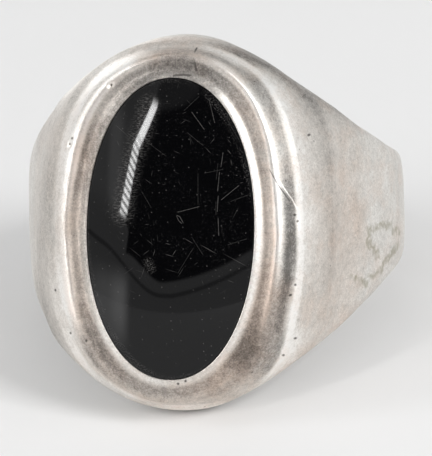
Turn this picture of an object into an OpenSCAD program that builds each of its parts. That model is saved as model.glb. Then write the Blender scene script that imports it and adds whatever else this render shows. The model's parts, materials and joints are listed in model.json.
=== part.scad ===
// A silver signet ring with a flat oval black stone, lying on its side.
// Millimetres, +Z up. The ring rests on the plane z = 0 on the end of its head and the
// back of its shank, and its box is centred over the origin. The head faces -Y.
//
// The ring is worked out in its own frame first: x across the head, y away from the
// stone, z along the finger. Heights are measured from the finger's axis.

/* [Finger] */
// Diameter of the finger hole
finger_d = 19.4; // [17:0.1:22]
// Bevel where the hole meets the side faces
hole_bevel = 0.25; // [0.1:0.05:0.4]

/* [Head] */
// Length of the head along the finger
head_l = 22.5; // [20:0.1:25]
// Width of the oval ridge round the head
ridge_w = 15.16; // [13.5:0.02:16]
// Length of the oval ridge round the head
ridge_l = 21.46; // [19:0.02:22]
// Squareness of the ridge's oval, 2 is an ellipse
ridge_square = 2.55; // [2:0.05:3]
// Turn of the ridge's oval against the stone, from hand finishing
ridge_turn = -2.5; // [-4:0.1:4]
// Turn of the whole head against the shank, from hand finishing
head_turn = 2.8; // [-4:0.1:4]
// Width of the rim round the stone
rim_w = 0.36; // [0.2:0.02:0.6]
// Distance from the rim to the top of the roll, at the sides and the ends
roll_at = 1.06; // [0.9:0.02:1.2]
// How much further out the roll lies at the four corners between them
roll_spread = 0.28; // [0:0.02:0.3]
// Depth of the hollow between the rim and the roll
hollow_d = 0.27; // [0.1:0.01:0.4]

/* [Stone] */
// Width of the stone
stone_w = 10.0; // [8:0.1:11]
// Length of the stone along the finger
stone_l = 17.8; // [14:0.1:18.5]
// Squareness of the stone's oval, 2 is an ellipse
stone_square = 2.11; // [2:0.01:2.5]
// Height of the stone's edge above the finger hole, at its widest
stone_lift = 4.8; // [4.4:0.1:5.4]
// How much lower the stone's edge lies at its two ends
stone_dip = 0.3; // [0:0.05:0.6]
// Rise of the polished dome above the stone's edge
dome_h = 1.0; // [0.4:0.1:1.4]
// Depth of the stone below its edge
stone_d = 1.5; // [1:0.1:2]
// Gap between the stone and the silver
stone_gap = 0.04; // [0.02:0.01:0.08]

/* [Shank] */
// Width of the shank at its back
shank_w = 5.6; // [4:0.1:8]

/* [Smoothness] */
// Facets across the shank
across_n = 12; // [8:2:16]
// Facets along each long side of the head
along_n = 30; // [20:2:40]
// Facets along the shank
shank_n = 30; // [20:2:40]

/* [Hidden] */

SILVER = [0.76, 0.74, 0.71];
ONYX = [0.03, 0.03, 0.035];

finger_r = finger_d / 2;
// Angle round the finger at which the head's facets hand over to the shank's.
handover = 62;
// Corner of the ridge's oval that is led to the corner of the hand-over.
corner = 35;
// How far the blank reaches into the hole before the hole is bored.
bore_skin = 0.8;
// Facets round the bored hole.
bore_n = 144;
// Height above the finger's axis where the turn of the head starts, and where it is full.
turn_from = 2;
turn_full = 10;

// The band that wraps the finger, a row for each section. Columns: angle from the head
// round the finger, share of the way from the shank's half width to the head's, wall at
// the side face, wall at the middle, and squareness of the section.
WIDTH = 1;
EDGE = 2;
CROWN = 3;
SQUARE = 4;
BAND = [
    [0, 1.000, 0.50, 4.90, 2.80],
    [12, 0.960, 0.55, 5.14, 2.70],
    [24, 0.835, 0.70, 5.88, 2.45],
    [36, 0.651, 1.14, 4.87, 2.30],
    [48, 0.491, 1.26, 2.93, 2.40],
    [62, 0.304, 1.30, 2.18, 2.80],
    [80, 0.143, 1.15, 1.88, 3.40],
    [100, 0.067, 1.05, 1.85, 3.60],
    [135, 0.018, 1.00, 1.70, 3.60],
    [180, 0.000, 1.00, 1.70, 3.60],
];

// How far the band's middle lies off the middle of the finger, from hand finishing.
// Columns: angle from the head round the finger, minus on the left, and the distance.
LIE = [
    [-180, 0],
    [-135, 0],
    [-100, -0.25],
    [-62, -0.22],
    [-36, -0.08],
    [-12, 0.06],
    [12, 0.10],
    [36, 0.21],
    [62, 0.15],
    [100, 0.06],
    [135, 0],
    [180, 0],
];

// The moulding between the stone and the ridge, a row for each line. Columns: place, from
// -1 at the stone over 0 at the rim's outer edge and 1 at the top of the roll to 2 at the
// ridge, then the share of the drop and of the hollow's depth where there is a roll, and
// the same two where it is filed away.
DROP = 1;
HOLLOW = 2;
PLAIN_DROP = 3;
PLAIN_HOLLOW = 4;
MOULDING = [
    [-0.50, 0.00, 0.10, 0.00, 0.08],
    [0.00, 0.00, 0.38, 0.00, 0.30],
    [0.18, 0.00, 0.80, 0.02, 0.64],
    [0.38, 0.00, 1.00, 0.06, 0.88],
    [0.66, 0.01, 0.74, 0.13, 0.96],
    [1.00, 0.07, 0.08, 0.26, 0.60],
    [1.24, 0.24, -0.05, 0.39, 0.34],
    [1.62, 0.62, -0.08, 0.65, 0.12],
    [2.00, 1.00, 0.00, 1.00, 0.00],
];

// Angles round the stone between which the roll fades out, is away and comes back.
plain_from = 195;
plain_full = 230;
plain_until = 312;
plain_end = 342;

// Rows of facets between the ridge and the hand-over, as shares of the way.
SHOULDER = [0.16, 0.38, 0.62, 0.82, 1];

// Rows of facets on the stone's dome, as shares of its half width, from the middle out.
DOME = [0.3, 0.55, 0.75, 0.9, 1];

function mix(a, b, t) = a + (b - a) * t;

// A soft step from 0 to 1.
function eased(t) =
    let (c = min(1, max(0, t)))
    c * c * (3 - 2 * c);

// Angle brought into -180 to 180.
function wrapped(angle) = angle - 360 * floor((angle + 180) / 360);

function last_row(table, x) =
    max([for (i = [0:len(table) - 2]) if (table[i][0] <= x) i]);

function slope(table, i, col) = (i == 0 || i == len(table) - 1) ? 0
    : (table[i + 1][col] - table[i - 1][col]) / (table[i + 1][0] - table[i - 1][0]);

// A column of a table at any x, as a smooth curve through its rows.
function smooth(table, x, col) =
    let (i = last_row(table, x),
         span = table[i + 1][0] - table[i][0],
         t = (x - table[i][0]) / span)
    mix(table[i][col], table[i + 1][col], eased(t))
        + span * t * (1 - t)
            * ((1 - t) * slope(table, i, col) - t * slope(table, i + 1, col));

// Both halves of the band are alike, apart from how they lie.
function band(angle, col) = smooth(BAND, abs(wrapped(angle)), col);
function lie(angle) = smooth(LIE, wrapped(angle), 1);

function half_width(angle) = mix(shank_w, head_l, band(angle, WIDTH)) / 2;

// Radius of the band's skin at a share v of its half width.
function skin_r(angle, v) =
    let (n = band(angle, SQUARE),
         share = pow(max(0, 1 - pow(abs(v), n)), 1 / n))
    finger_r + mix(band(angle, EDGE), band(angle, CROWN), share);

function skin_point(angle, v) =
    let (r = skin_r(angle, v))
    [r * sin(angle), -r * cos(angle), lie(angle) + v * half_width(angle)];

// Height at which the skin passes over the place x, z, found by closing in on it.
function skin_height(x, z, guess = 13, steps = 30) = steps == 0 ? guess
    : let (angle = atan2(x, guess),
           v = min(abs(z - lie(angle)) / half_width(angle), 0.9999),
           r = skin_r(angle, v),
           found = sqrt(max(1, r * r - x * x)))
      skin_height(x, z, (guess + found) / 2, steps - 1);

function signed_pow(value, power) = sign(value) * pow(abs(value), power);

function oval(w, l, square, u) =
    [w / 2 * signed_pow(cos(u), 2 / square), l / 2 * signed_pow(sin(u), 2 / square)];

function turned(p, angle) =
    [p[0] * cos(angle) + p[1] * sin(angle), p[1] * cos(angle) - p[0] * sin(angle)];

// The head is turned a little against the shank, and the turn fades out down the
// shoulders.
function head_twist(p) =
    let (share = eased((-p[1] - turn_from) / (turn_full - turn_from)),
         q = turned([p[0], p[2]], head_turn * share))
    [q[0], p[1], q[1]];

// Corresponding angles of the ovals and places on the hand-over, once round the head.
half_n = across_n / 2;
STATIONS = concat(
    [for (i = [0:across_n - 1]) [mix(-corner, corner, i / across_n), handover,
        sin(90 * (i - half_n) / half_n)]],
    [for (i = [0:along_n - 1]) [mix(corner, 180 - corner, i / along_n),
        mix(handover, -handover, i / along_n), 1]],
    [for (i = [0:across_n - 1]) [mix(180 - corner, 180 + corner, i / across_n), -handover,
        -sin(90 * (i - half_n) / half_n)]],
    [for (i = [0:along_n - 1]) [mix(180 + corner, 360 - corner, i / along_n),
        mix(-handover, handover, i / along_n), -1]]);
ring_n = len(STATIONS);

function edge_height(z) = finger_r + stone_lift - stone_dip * pow(2 * z / stone_l, 2);

function stone_edge(u, grow = 0) =
    let (q = oval(stone_w + 2 * grow, stone_l + 2 * grow, stone_square, u))
    [q[0], -edge_height(q[1]), q[1]];

function ridge_point(u) =
    let (q = turned(oval(ridge_w, ridge_l, ridge_square, u), ridge_turn))
    [q[0], -skin_height(q[0], q[1]), q[1]];

// How far the roll is filed away at an angle round the stone, from 0 to 1.
function plain(u) =
    let (a = u < 0 ? u + 360 : u)
    eased((a - plain_from) / (plain_full - plain_from))
        * eased((plain_end - a) / (plain_end - plain_until));

// A point of the moulding: along the line from the rim to the ridge, dropped and hollowed.
function moulding_point(rim, ridge, u, row) =
    let (line = [ridge[0] - rim[0], 0, ridge[2] - rim[2]],
         reach = norm(line),
         roll = roll_at + roll_spread * pow(sin(2 * u), 2),
         along = row[0] <= 0 ? rim_w * row[0]
             : row[0] <= 1 ? roll * row[0]
             : mix(roll, reach, row[0] - 1),
         p = rim + line * along / reach,
         drop = mix(row[DROP], row[PLAIN_DROP], plain(u)),
         hollow = mix(row[HOLLOW], row[PLAIN_HOLLOW], plain(u)))
    [p[0], mix(rim[1], ridge[1], drop) + hollow_d * hollow, p[2]];

function rim_outer(inner, ridge) =
    let (across = [ridge[0] - inner[0], 0, ridge[2] - inner[2]])
    inner + across * rim_w / norm(across);

// A point between the ridge and the hand-over, on the skin of the band.
function shoulder_point(ridge, station, t) =
    let (angle0 = atan2(ridge[0], -ridge[1]),
         v0 = (ridge[2] - lie(angle0)) / half_width(angle0),
         angle = mix(angle0, station[1], t),
         v = station[2] - (station[2] - v0) * pow(1 - t, 2))
    skin_point(angle, v);

RIDGE = [for (s = STATIONS) ridge_point(s[0])];
MOUTH = [for (s = STATIONS) stone_edge(s[0], stone_gap)];
RIM = [for (i = [0:ring_n - 1]) rim_outer(MOUTH[i], RIDGE[i])];
pocket_y = -(edge_height(stone_l / 2) - stone_d - stone_gap);

// Rings of points from the floor of the stone's pocket out to the hand-over.
HEAD_RINGS = concat(
    [[for (p = MOUTH) [p[0], pocket_y, p[2]]]],
    [MOUTH],
    [for (row = MOULDING)
        [for (i = [0:ring_n - 1]) moulding_point(RIM[i], RIDGE[i], STATIONS[i][0], row)]],
    [for (t = SHOULDER) [for (i = [0:ring_n - 1]) shoulder_point(RIDGE[i], STATIONS[i], t)]]);
rings_n = len(HEAD_RINGS);

// Rows across the shank between the two hand-overs, right side first.
SHANK_ROWS = [for (j = [1:shank_n - 1])
    [for (i = [0:across_n])
        skin_point(mix(handover, 360 - handover, j / shank_n), sin(90 * (i - half_n) / half_n))]];

// One index for each kind of point.
function head_at(ring, i) = 1 + ring * ring_n + (i + ring_n) % ring_n;
shank_0 = 1 + rings_n * ring_n;
function shank_at(j, i) =
    j == 0 ? head_at(rings_n - 1, i)
    : j == shank_n ? head_at(rings_n - 1, 2 * across_n + along_n - i)
    : shank_0 + (j - 1) * (across_n + 1) + i;

// The two edges of the band, once round the finger from the right hand-over, over the
// head or under it, and back along the shank. Each starts at the right hand-over.
loop_n = along_n + shank_n;
function top_edge(k) = k <= along_n ? head_at(rings_n - 1, across_n + k)
    : shank_at(shank_n - (k - along_n), across_n);
function bottom_edge(k) = k <= along_n ? head_at(rings_n - 1, ring_n - k)
    : shank_at(shank_n - (k - along_n), 0);

SKIN_POINTS = [for (p = concat(
    [[0, pocket_y, 0]],
    [for (ring = HEAD_RINGS) each ring],
    [for (row = SHANK_ROWS) each row])) head_twist(p)];

// A point of the side face or the hole, inwards from an edge point of the skin.
function inwards(p, r, rise) =
    let (out = norm([p[0], p[1]]))
    [p[0] * r / out, p[1] * r / out, p[2] - sign(p[2]) * rise];

function inner_points(side) = [for (k = [0:loop_n - 1])
    let (p = SKIN_POINTS[side > 0 ? top_edge(k) : bottom_edge(k)])
    each [inwards(p, finger_r + hole_bevel, 0),
          inwards(p, finger_r - bore_skin, hole_bevel + bore_skin)]];

inner_0 = len(SKIN_POINTS);
function inner_at(side, k, row) =
    inner_0 + (side > 0 ? 0 : 2 * loop_n) + 2 * ((k + loop_n) % loop_n) + row;

BODY_POINTS = concat(SKIN_POINTS, inner_points(1), inner_points(-1));

// Two facets, turned so that they face outwards.
function quad(a, b, c, d) = [[a, c, b], [a, d, c]];

BODY_FACES = concat(
    [for (i = [0:ring_n - 1]) [0, head_at(0, i + 1), head_at(0, i)]],
    [for (r = [0:rings_n - 2]) for (i = [0:ring_n - 1])
        each quad(head_at(r, i), head_at(r + 1, i), head_at(r + 1, i + 1), head_at(r, i + 1))],
    [for (j = [0:shank_n - 1]) for (i = [0:across_n - 1])
        each quad(shank_at(j, i), shank_at(j + 1, i), shank_at(j + 1, i + 1), shank_at(j, i + 1))],
    [for (k = [0:loop_n - 1])
        each quad(top_edge(k), inner_at(1, k, 0), inner_at(1, k + 1, 0), top_edge((k + 1) % loop_n))],
    [for (k = [0:loop_n - 1])
        each quad(inner_at(1, k, 0), inner_at(1, k, 1), inner_at(1, k + 1, 1), inner_at(1, k + 1, 0))],
    [for (k = [0:loop_n - 1])
        each quad(bottom_edge((k + 1) % loop_n), inner_at(-1, k + 1, 0), inner_at(-1, k, 0), bottom_edge(k))],
    [for (k = [0:loop_n - 1])
        each quad(inner_at(-1, k + 1, 0), inner_at(-1, k + 1, 1), inner_at(-1, k, 1), inner_at(-1, k, 0))],
    [for (k = [0:loop_n - 1])
        each quad(inner_at(1, k, 1), inner_at(-1, k, 1), inner_at(-1, k + 1, 1), inner_at(1, k + 1, 1))]);

// The stone: a foot, an upright wall and a low dome.
function dome_point(u, share) =
    let (p = stone_edge(u),
         fall = edge_height(0) - edge_height(p[2]))
    [p[0] * share, -edge_height(0) - dome_h + (dome_h + fall) * share * share, p[2] * share];

STONE_POINTS = [for (p = concat(
    [[0, -(edge_height(0) + dome_h), 0]],
    [for (share = DOME) for (s = STATIONS) dome_point(s[0], share)],
    [for (s = STATIONS) let (p = stone_edge(s[0])) [p[0], pocket_y - stone_gap, p[2]]],
    [[0, pocket_y - stone_gap, 0]])) head_twist(p)];
stone_rings = len(DOME) + 1;
function stone_at(ring, i) = 1 + ring * ring_n + i % ring_n;
stone_foot = 1 + stone_rings * ring_n;

STONE_FACES = concat(
    [for (i = [0:ring_n - 1]) [0, stone_at(0, i + 1), stone_at(0, i)]],
    [for (r = [0:stone_rings - 2]) for (i = [0:ring_n - 1])
        each quad(stone_at(r, i), stone_at(r + 1, i), stone_at(r + 1, i + 1), stone_at(r, i + 1))],
    [for (i = [0:ring_n - 1])
        [stone_foot, stone_at(stone_rings - 1, i), stone_at(stone_rings - 1, i + 1)]]);

// How the ring comes to rest: leant back until the head's end and the shank's back are
// level, then set down on z = 0 with its box centred.
function leant(p, lean) =
    [p[0], p[1] * cos(lean) + p[2] * sin(lean), p[2] * cos(lean) - p[1] * sin(lean)];
function lowest(points, lean) = min([for (p = points) leant(p, lean)[2]]);
FRONT = [for (p = BODY_POINTS) if (p[1] < -5 && p[2] < 0) p];
BACK = [for (p = BODY_POINTS) if (p[1] > 5 && p[2] < 0) p];
function level_lean(low, high, steps = 24) =
    let (middle = (low + high) / 2)
    steps == 0 ? middle
    : lowest(FRONT, middle) < lowest(BACK, middle) ? level_lean(middle, high, steps - 1)
    : level_lean(low, middle, steps - 1);
lean = level_lean(5, 40);
RESTING = [for (p = concat(BODY_POINTS, STONE_POINTS)) leant(p, lean)];
function centre(col) =
    (min([for (p = RESTING) p[col]]) + max([for (p = RESTING) p[col]])) / 2;
SET_DOWN = [-centre(0), -centre(1), -lowest(BODY_POINTS, lean)];

module at_rest() {
    translate(SET_DOWN)
        rotate([-lean, 0, 0])
            children();
}

// The silver, one casting from the rim round the stone to the back of the shank.
module ring_body() {
    color(SILVER)
        at_rest()
            difference() {
                polyhedron(BODY_POINTS, BODY_FACES, convexity = 10);
                cylinder(h = 2 * head_l, d = finger_d, center = true, $fn = bore_n);
            }
}

// The black stone, flush with its rim and slightly domed.
module stone() {
    color(ONYX)
        at_rest()
            polyhedron(STONE_POINTS, STONE_FACES, convexity = 4);
}

echo(lean = lean, set_down = SET_DOWN);

ring_body();
stone();
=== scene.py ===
import json
import math

import bpy
import numpy as np
from mathutils import Matrix, Vector, noise


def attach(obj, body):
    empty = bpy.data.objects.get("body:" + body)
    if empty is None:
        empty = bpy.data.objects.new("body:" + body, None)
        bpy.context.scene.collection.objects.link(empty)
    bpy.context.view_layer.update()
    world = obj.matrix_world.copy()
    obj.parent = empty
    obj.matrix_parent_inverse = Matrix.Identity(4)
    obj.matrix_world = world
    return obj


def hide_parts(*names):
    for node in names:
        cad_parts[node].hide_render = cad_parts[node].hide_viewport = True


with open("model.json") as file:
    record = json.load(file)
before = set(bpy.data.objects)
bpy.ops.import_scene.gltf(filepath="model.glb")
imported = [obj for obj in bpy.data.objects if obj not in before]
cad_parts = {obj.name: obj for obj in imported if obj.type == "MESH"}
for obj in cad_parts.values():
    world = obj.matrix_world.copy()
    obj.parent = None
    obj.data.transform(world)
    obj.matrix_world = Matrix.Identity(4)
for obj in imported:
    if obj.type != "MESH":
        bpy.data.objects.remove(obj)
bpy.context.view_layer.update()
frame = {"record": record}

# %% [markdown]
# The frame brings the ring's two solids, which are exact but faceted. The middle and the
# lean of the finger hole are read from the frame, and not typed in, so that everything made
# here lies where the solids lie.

MM = 0.001

bore = frame["record"]["mounts"][0]
CENTRE = np.array(bore["pos_m"])
LEAN = math.atan2(bore["axis"][1], bore["axis"][2])
print("ring centre", CENTRE, "leaning back", round(math.degrees(LEAN), 2), "degrees")

# %% [markdown]
# A ring is measured in its own frame, as a jeweller would: x across the head, y away from
# the stone and z along the finger, in millimetres from the middle of the finger hole. It
# could be modelled as it lies, but then every number would hold the lean as well. Here one
# function leans the finished points back and sets them down where the frame says.

# %% Sizes of the ring, in millimetres
FINGER_R, HOLE_BEVEL = 9.7, 0.25
HEAD_L, SHANK_W = 22.5, 5.6
# the ovals of the ridge and of the stone: width, length and squareness, 2 for an ellipse
RIDGE_W, RIDGE_L, RIDGE_SQUARE = 15.16, 21.46, 2.55
STONE_W, STONE_L, STONE_SQUARE = 10.0, 17.8, 2.11
# degrees by which hand finishing has turned the ridge and the head; the head's turn starts
# at one height in mm above the middle of the hole and grows over the next few
RIDGE_TURN, HEAD_TURN = -2.5, 2.8
TURN_FROM, TURN_OVER = 2, 8
# the rim, the roll's distance from it and what is added at the corners, the hollow's depth
RIM_W = 0.36
ROLL_AT, ROLL_SPREAD = 1.06, 0.28
HOLLOW_D = 0.27
# the stone's edge above the hole, its fall toward the ends, its dome, depth and clearance
STONE_LIFT, STONE_DIP = 4.8, 0.3
DOME_H, STONE_D, STONE_GAP = 1.0, 1.5, 0.04
print("head", RIDGE_W, "x", RIDGE_L, "mm, stone", STONE_W, "x", STONE_L, "mm")

# %% [markdown]
# The band of the ring swells from the shank to the head. It could be lofted through drawn
# sections or sculpted, but a short table is easier to read and to correct: each row is one
# angle round the finger, and a smooth curve passes through every column of it.

# %% The band round the finger
# angle round the finger, share of width, wall at the side, wall at the middle, squareness
WIDTH, EDGE, CROWN, SQUARE = range(1, 5)
BAND = np.array([
    [0, 1.000, 0.50, 4.90, 2.80],
    [12, 0.960, 0.55, 5.14, 2.70],
    [24, 0.835, 0.70, 5.88, 2.45],
    [36, 0.651, 1.14, 4.87, 2.30],
    [48, 0.491, 1.26, 2.93, 2.40],
    [62, 0.304, 1.30, 2.18, 2.80],
    [80, 0.143, 1.15, 1.88, 3.40],
    [100, 0.067, 1.05, 1.85, 3.60],
    [135, 0.018, 1.00, 1.70, 3.60],
    [180, 0.000, 1.00, 1.70, 3.60],
])
# angle round the finger, minus on the left, and how far the band's middle lies off centre
LIE = np.array([
    [-180, 0], [-135, 0], [-100, -0.25], [-62, -0.22], [-36, -0.08], [-12, 0.06],
    [12, 0.10], [36, 0.21], [62, 0.15], [100, 0.06], [135, 0], [180, 0],
])


def ease(t):
    """A soft step from 0 to 1, flat at both ends."""
    t = np.clip(t, 0, 1)
    return t * t * (3 - 2 * t)


def smooth_column(table, x, col):
    """A column of a table at any x, as a smooth curve through its rows."""
    xs, ys = table[:, 0], table[:, col]
    slope = np.zeros(len(xs))
    slope[1:-1] = (ys[2:] - ys[:-2]) / (xs[2:] - xs[:-2])
    i = np.clip(np.searchsorted(xs, x, side="right") - 1, 0, len(xs) - 2)
    span = xs[i + 1] - xs[i]
    t = (x - xs[i]) / span
    bend = (1 - t) * slope[i] - t * slope[i + 1]
    return ys[i] + (ys[i + 1] - ys[i]) * ease(t) + span * t * (1 - t) * bend


def band(angle, col):
    """The band's table at any angle; both sides of the ring are alike."""
    return smooth_column(BAND, np.abs((angle + 180) % 360 - 180), col)


def lie(angle):
    """How far the band's middle lies off centre, in mm."""
    return smooth_column(LIE, (angle + 180) % 360 - 180, 1)


def half_width(angle):
    """Half the band's width, in mm."""
    return (SHANK_W + (HEAD_L - SHANK_W) * band(angle, WIDTH)) / 2


print("shank", SHANK_W, "mm wide, shoulder at 48 degrees", round(2 * float(half_width(48.0)), 2), "mm")

# %% [markdown]
# The skin is the outside of that band, arched across its width. A jeweller files it by eye;
# here it is a formula of the angle and the place across, so that any grid can be laid on it
# and the ridge and the hollow can be set down on it exactly.

# %% The skin of the band
# a height to start from, rounds of closing in, and how near to the band's edge it may look
START_H, ROUNDS, INSIDE = 13.0, 40, 0.9999


def to_world(points):
    """Points of the ring's own frame, in mm, as metres in the frame's place."""
    p = np.asarray(points, float)
    c, s = math.cos(LEAN), math.sin(LEAN)
    out = np.stack([p[:, 0], p[:, 1] * c + p[:, 2] * s, p[:, 2] * c - p[:, 1] * s], 1)
    return out * MM + CENTRE


def skin_r(angle, v):
    """The skin's radius where v is 0 in the middle of the band and 1 at its edge."""
    n = band(angle, SQUARE)
    share = np.maximum(0, 1 - np.abs(v) ** n) ** (1 / n)
    edge = band(angle, EDGE)
    return FINGER_R + edge + (band(angle, CROWN) - edge) * share


def skin_point(angle, v):
    """A point of the skin in the ring's own frame."""
    r, a = skin_r(angle, v), np.radians(angle)
    return np.stack([r * np.sin(a), -r * np.cos(a), lie(angle) + v * half_width(angle)], -1)


def skin_height(x, z):
    """Height at which the skin passes over x, z, found by closing in on it."""
    h = np.full(np.shape(x), START_H)
    for _ in range(ROUNDS):
        angle = np.degrees(np.arctan2(x, h))
        r = skin_r(angle, np.minimum(np.abs(z - lie(angle)) / half_width(angle), INSIDE))
        h = (h + np.sqrt(np.maximum(1, r * r - x * x))) / 2
    return h


def turned(x, z, degrees):
    """Points of the head's plane, turned about the stone's middle."""
    a = np.radians(degrees)
    return x * np.cos(a) + z * np.sin(a), z * np.cos(a) - x * np.sin(a)


def head_twist(p):
    """The head sits a little turned on the shank, from hand finishing."""
    share = ease((-p[..., 1] - TURN_FROM) / TURN_OVER)
    x, z = turned(p[..., 0], p[..., 2], HEAD_TURN * share)
    return np.stack([x, p[..., 1], z], -1)


def oval(w, l, square, u):
    """Points of an oval at the angles u, from its right side on."""
    c, s = np.cos(np.radians(u)), np.sin(np.radians(u))
    power = 2 / square
    return w / 2 * np.sign(c) * np.abs(c) ** power, l / 2 * np.sign(s) * np.abs(s) ** power


print("skin in the middle of the head:", round(float(skin_r(0.0, 0.0)), 2), "mm from the finger's axis")

# %% [markdown]
# The head changes from an oval at the stone to a rectangle where the shank begins, so its
# grid runs in closed rings from one to the other. It could be cut from a block and remeshed,
# but a grid that follows the form keeps the highlights even. Geometry Nodes are best for
# pieces that repeat; nothing repeats on this ring, so its points are worked out as arrays.
# Each ring has the same number of stations, and each station knows its angle on the ovals
# and its place on the rectangle.

# %% Stations round the head
# the angle round the finger where the shank begins, the ovals' angle at a corner, and the
# steps across the band, along the head and round the shank
HANDOVER, CORNER = 62, 35
ACROSS, ALONG, SHANK_STEPS = 64, 140, 200


def stations():
    """Once round: angle on the ovals, angle round the finger and place across the band."""
    rows = []
    for middle, angle, side in ((0, HANDOVER, 1), (180, -HANDOVER, -1)):
        for i in range(ACROSS):
            v = side * math.sin(math.pi / 2 * (2 * i / ACROSS - 1))
            rows.append((middle - CORNER + 2 * CORNER * i / ACROSS, angle, v))
        for i in range(ALONG):
            u = middle + CORNER + (180 - 2 * CORNER) * i / ALONG
            rows.append((u, angle - 2 * angle * i / ALONG, side))
    return np.array(rows)


STATIONS = stations()
RING_N = len(STATIONS)
print("stations round the head:", RING_N)


def edge_height(z):
    """Height of the stone's edge: it falls a little toward both ends of the stone."""
    return FINGER_R + STONE_LIFT - STONE_DIP * (2 * z / STONE_L) ** 2


def stone_edge(grow=0.0):
    """The stone's outline at every station, or one that lies a little outside it."""
    x, z = oval(STONE_W + 2 * grow, STONE_L + 2 * grow, STONE_SQUARE, STATIONS[:, 0])
    return np.stack([x, -edge_height(z), z], 1)


def ridge_line():
    """The ridge at every station, set down on the skin."""
    x, z = turned(*oval(RIDGE_W, RIDGE_L, RIDGE_SQUARE, STATIONS[:, 0]), RIDGE_TURN)
    return np.stack([x, -skin_height(x, z), z], 1)


# %% [markdown]
# Between the stone and the ridge the silver is moulded: a thin rim, a round hollow, a roll
# and a bevel that falls to the ridge. Under the stone the roll was filed away and one broad
# hollow is left. A bevel modifier can't make such a profile and a sweep would keep it the
# same all round, so both forms are columns of a short table, and every station is swept
# through a mix of the two.

# %% Profile of the moulding
# place: up to 0 on the rim, 1 on top of the roll, 2 at the ridge. Then the share of the drop
# and of the hollow's depth where there is a roll, and the same two where it is filed away
PLACE, DROP, HOLLOW, PLAIN_DROP, PLAIN_HOLLOW = range(5)
MOULDING = np.array([
    [-0.33, 0.00, 0.00, 0.00, 0.00],
    [-0.24, 0.00, 0.06, 0.00, 0.05],
    [-0.14, 0.00, 0.22, 0.00, 0.18],
    [-0.03, 0.00, 0.49, 0.00, 0.40],
    [0.11, 0.00, 0.82, 0.02, 0.67],
    [0.31, 0.00, 1.00, 0.05, 0.88],
    [0.60, 0.01, 0.81, 0.12, 0.96],
    [0.80, 0.02, 0.46, 0.18, 0.82],
    [0.92, 0.04, 0.20, 0.22, 0.68],
    [1.00, 0.07, 0.08, 0.26, 0.60],
    [1.10, 0.13, 0.00, 0.31, 0.48],
    [1.24, 0.24, -0.05, 0.39, 0.34],
    [1.62, 0.62, -0.08, 0.65, 0.12],
    [1.85, 0.86, -0.02, 0.86, 0.03],
    [2.00, 1.00, 0.00, 1.00, 0.00],
])
RIM_PLACE = MOULDING[0, PLACE]
# between these angles round the stone the roll fades out, is away and comes back
PLAIN_FROM, PLAIN_FULL, PLAIN_UNTIL, PLAIN_END = 195, 230, 312, 342
# steps on the rim, to the roll and on to the ridge; and how the crest is evened out: how many
# times, by what share, between which places and over what stretch that fades in and out
RIM_START, RIM_STEPS, ROLL_STEPS, BEVEL_STEPS = 0.94, 8, 26, 24
CREST_PASSES, CREST_SHARE, CREST_FROM, CREST_TO, CREST_FADE = 22, 0.25, 0.5, 1.8, 0.3


def plain_share(u):
    """How far the roll is filed away at an angle round the stone."""
    u = u % 360
    return (ease((u - PLAIN_FROM) / (PLAIN_FULL - PLAIN_FROM))
            * ease((PLAIN_END - u) / (PLAIN_END - PLAIN_UNTIL)))


def moulding_rows(rim, ridge):
    """The lines of the moulding between the rim and the ridge: place and closed ring."""
    line = ridge - rim
    line[:, 1] = 0
    reach = np.linalg.norm(line, axis=1)
    plain = plain_share(STATIONS[:, 0])
    roll_at = ROLL_AT + ROLL_SPREAD * np.sin(np.radians(2 * STATIONS[:, 0])) ** 2
    places = np.concatenate([np.linspace(RIM_START * RIM_PLACE, 0, RIM_STEPS),
                             np.linspace(0, 1, ROLL_STEPS)[1:], np.linspace(1, 2, BEVEL_STEPS)[1:]])
    rings = []
    for place in places:
        drop, hollow, plain_drop, plain_hollow = (smooth_column(MOULDING, np.array([place]), c)[0]
                                                  for c in (DROP, HOLLOW, PLAIN_DROP, PLAIN_HOLLOW))
        along = roll_at * place if place > 0 else RIM_W * -place / RIM_PLACE + 0 * roll_at
        if place > 1:
            along = roll_at + (reach - roll_at) * (place - 1)
        q = rim + line * (along / reach)[:, None]
        q[:, 1] = (rim[:, 1] + (ridge[:, 1] - rim[:, 1]) * (drop + (plain_drop - drop) * plain)
                   + HOLLOW_D * (hollow + (plain_hollow - hollow) * plain))
        rings.append(q)
    # the crest of the roll is worn round: its heights, which are a view into the rings, are
    # evened out a little at a time
    rings = np.array(rings)
    heights = rings[:, :, 1]
    fade = ease((places - CREST_FROM) / CREST_FADE) * ease((CREST_TO - places) / CREST_FADE)
    share = CREST_SHARE * fade[1:-1, None]
    for _ in range(CREST_PASSES):
        heights[1:-1] += share * (heights[:-2] + heights[2:] - 2 * heights[1:-1])
    return list(zip(places, rings))


print("moulding:", len(MOULDING), "rows,", round(HOLLOW_D, 2), "mm deep in the hollow")
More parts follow.
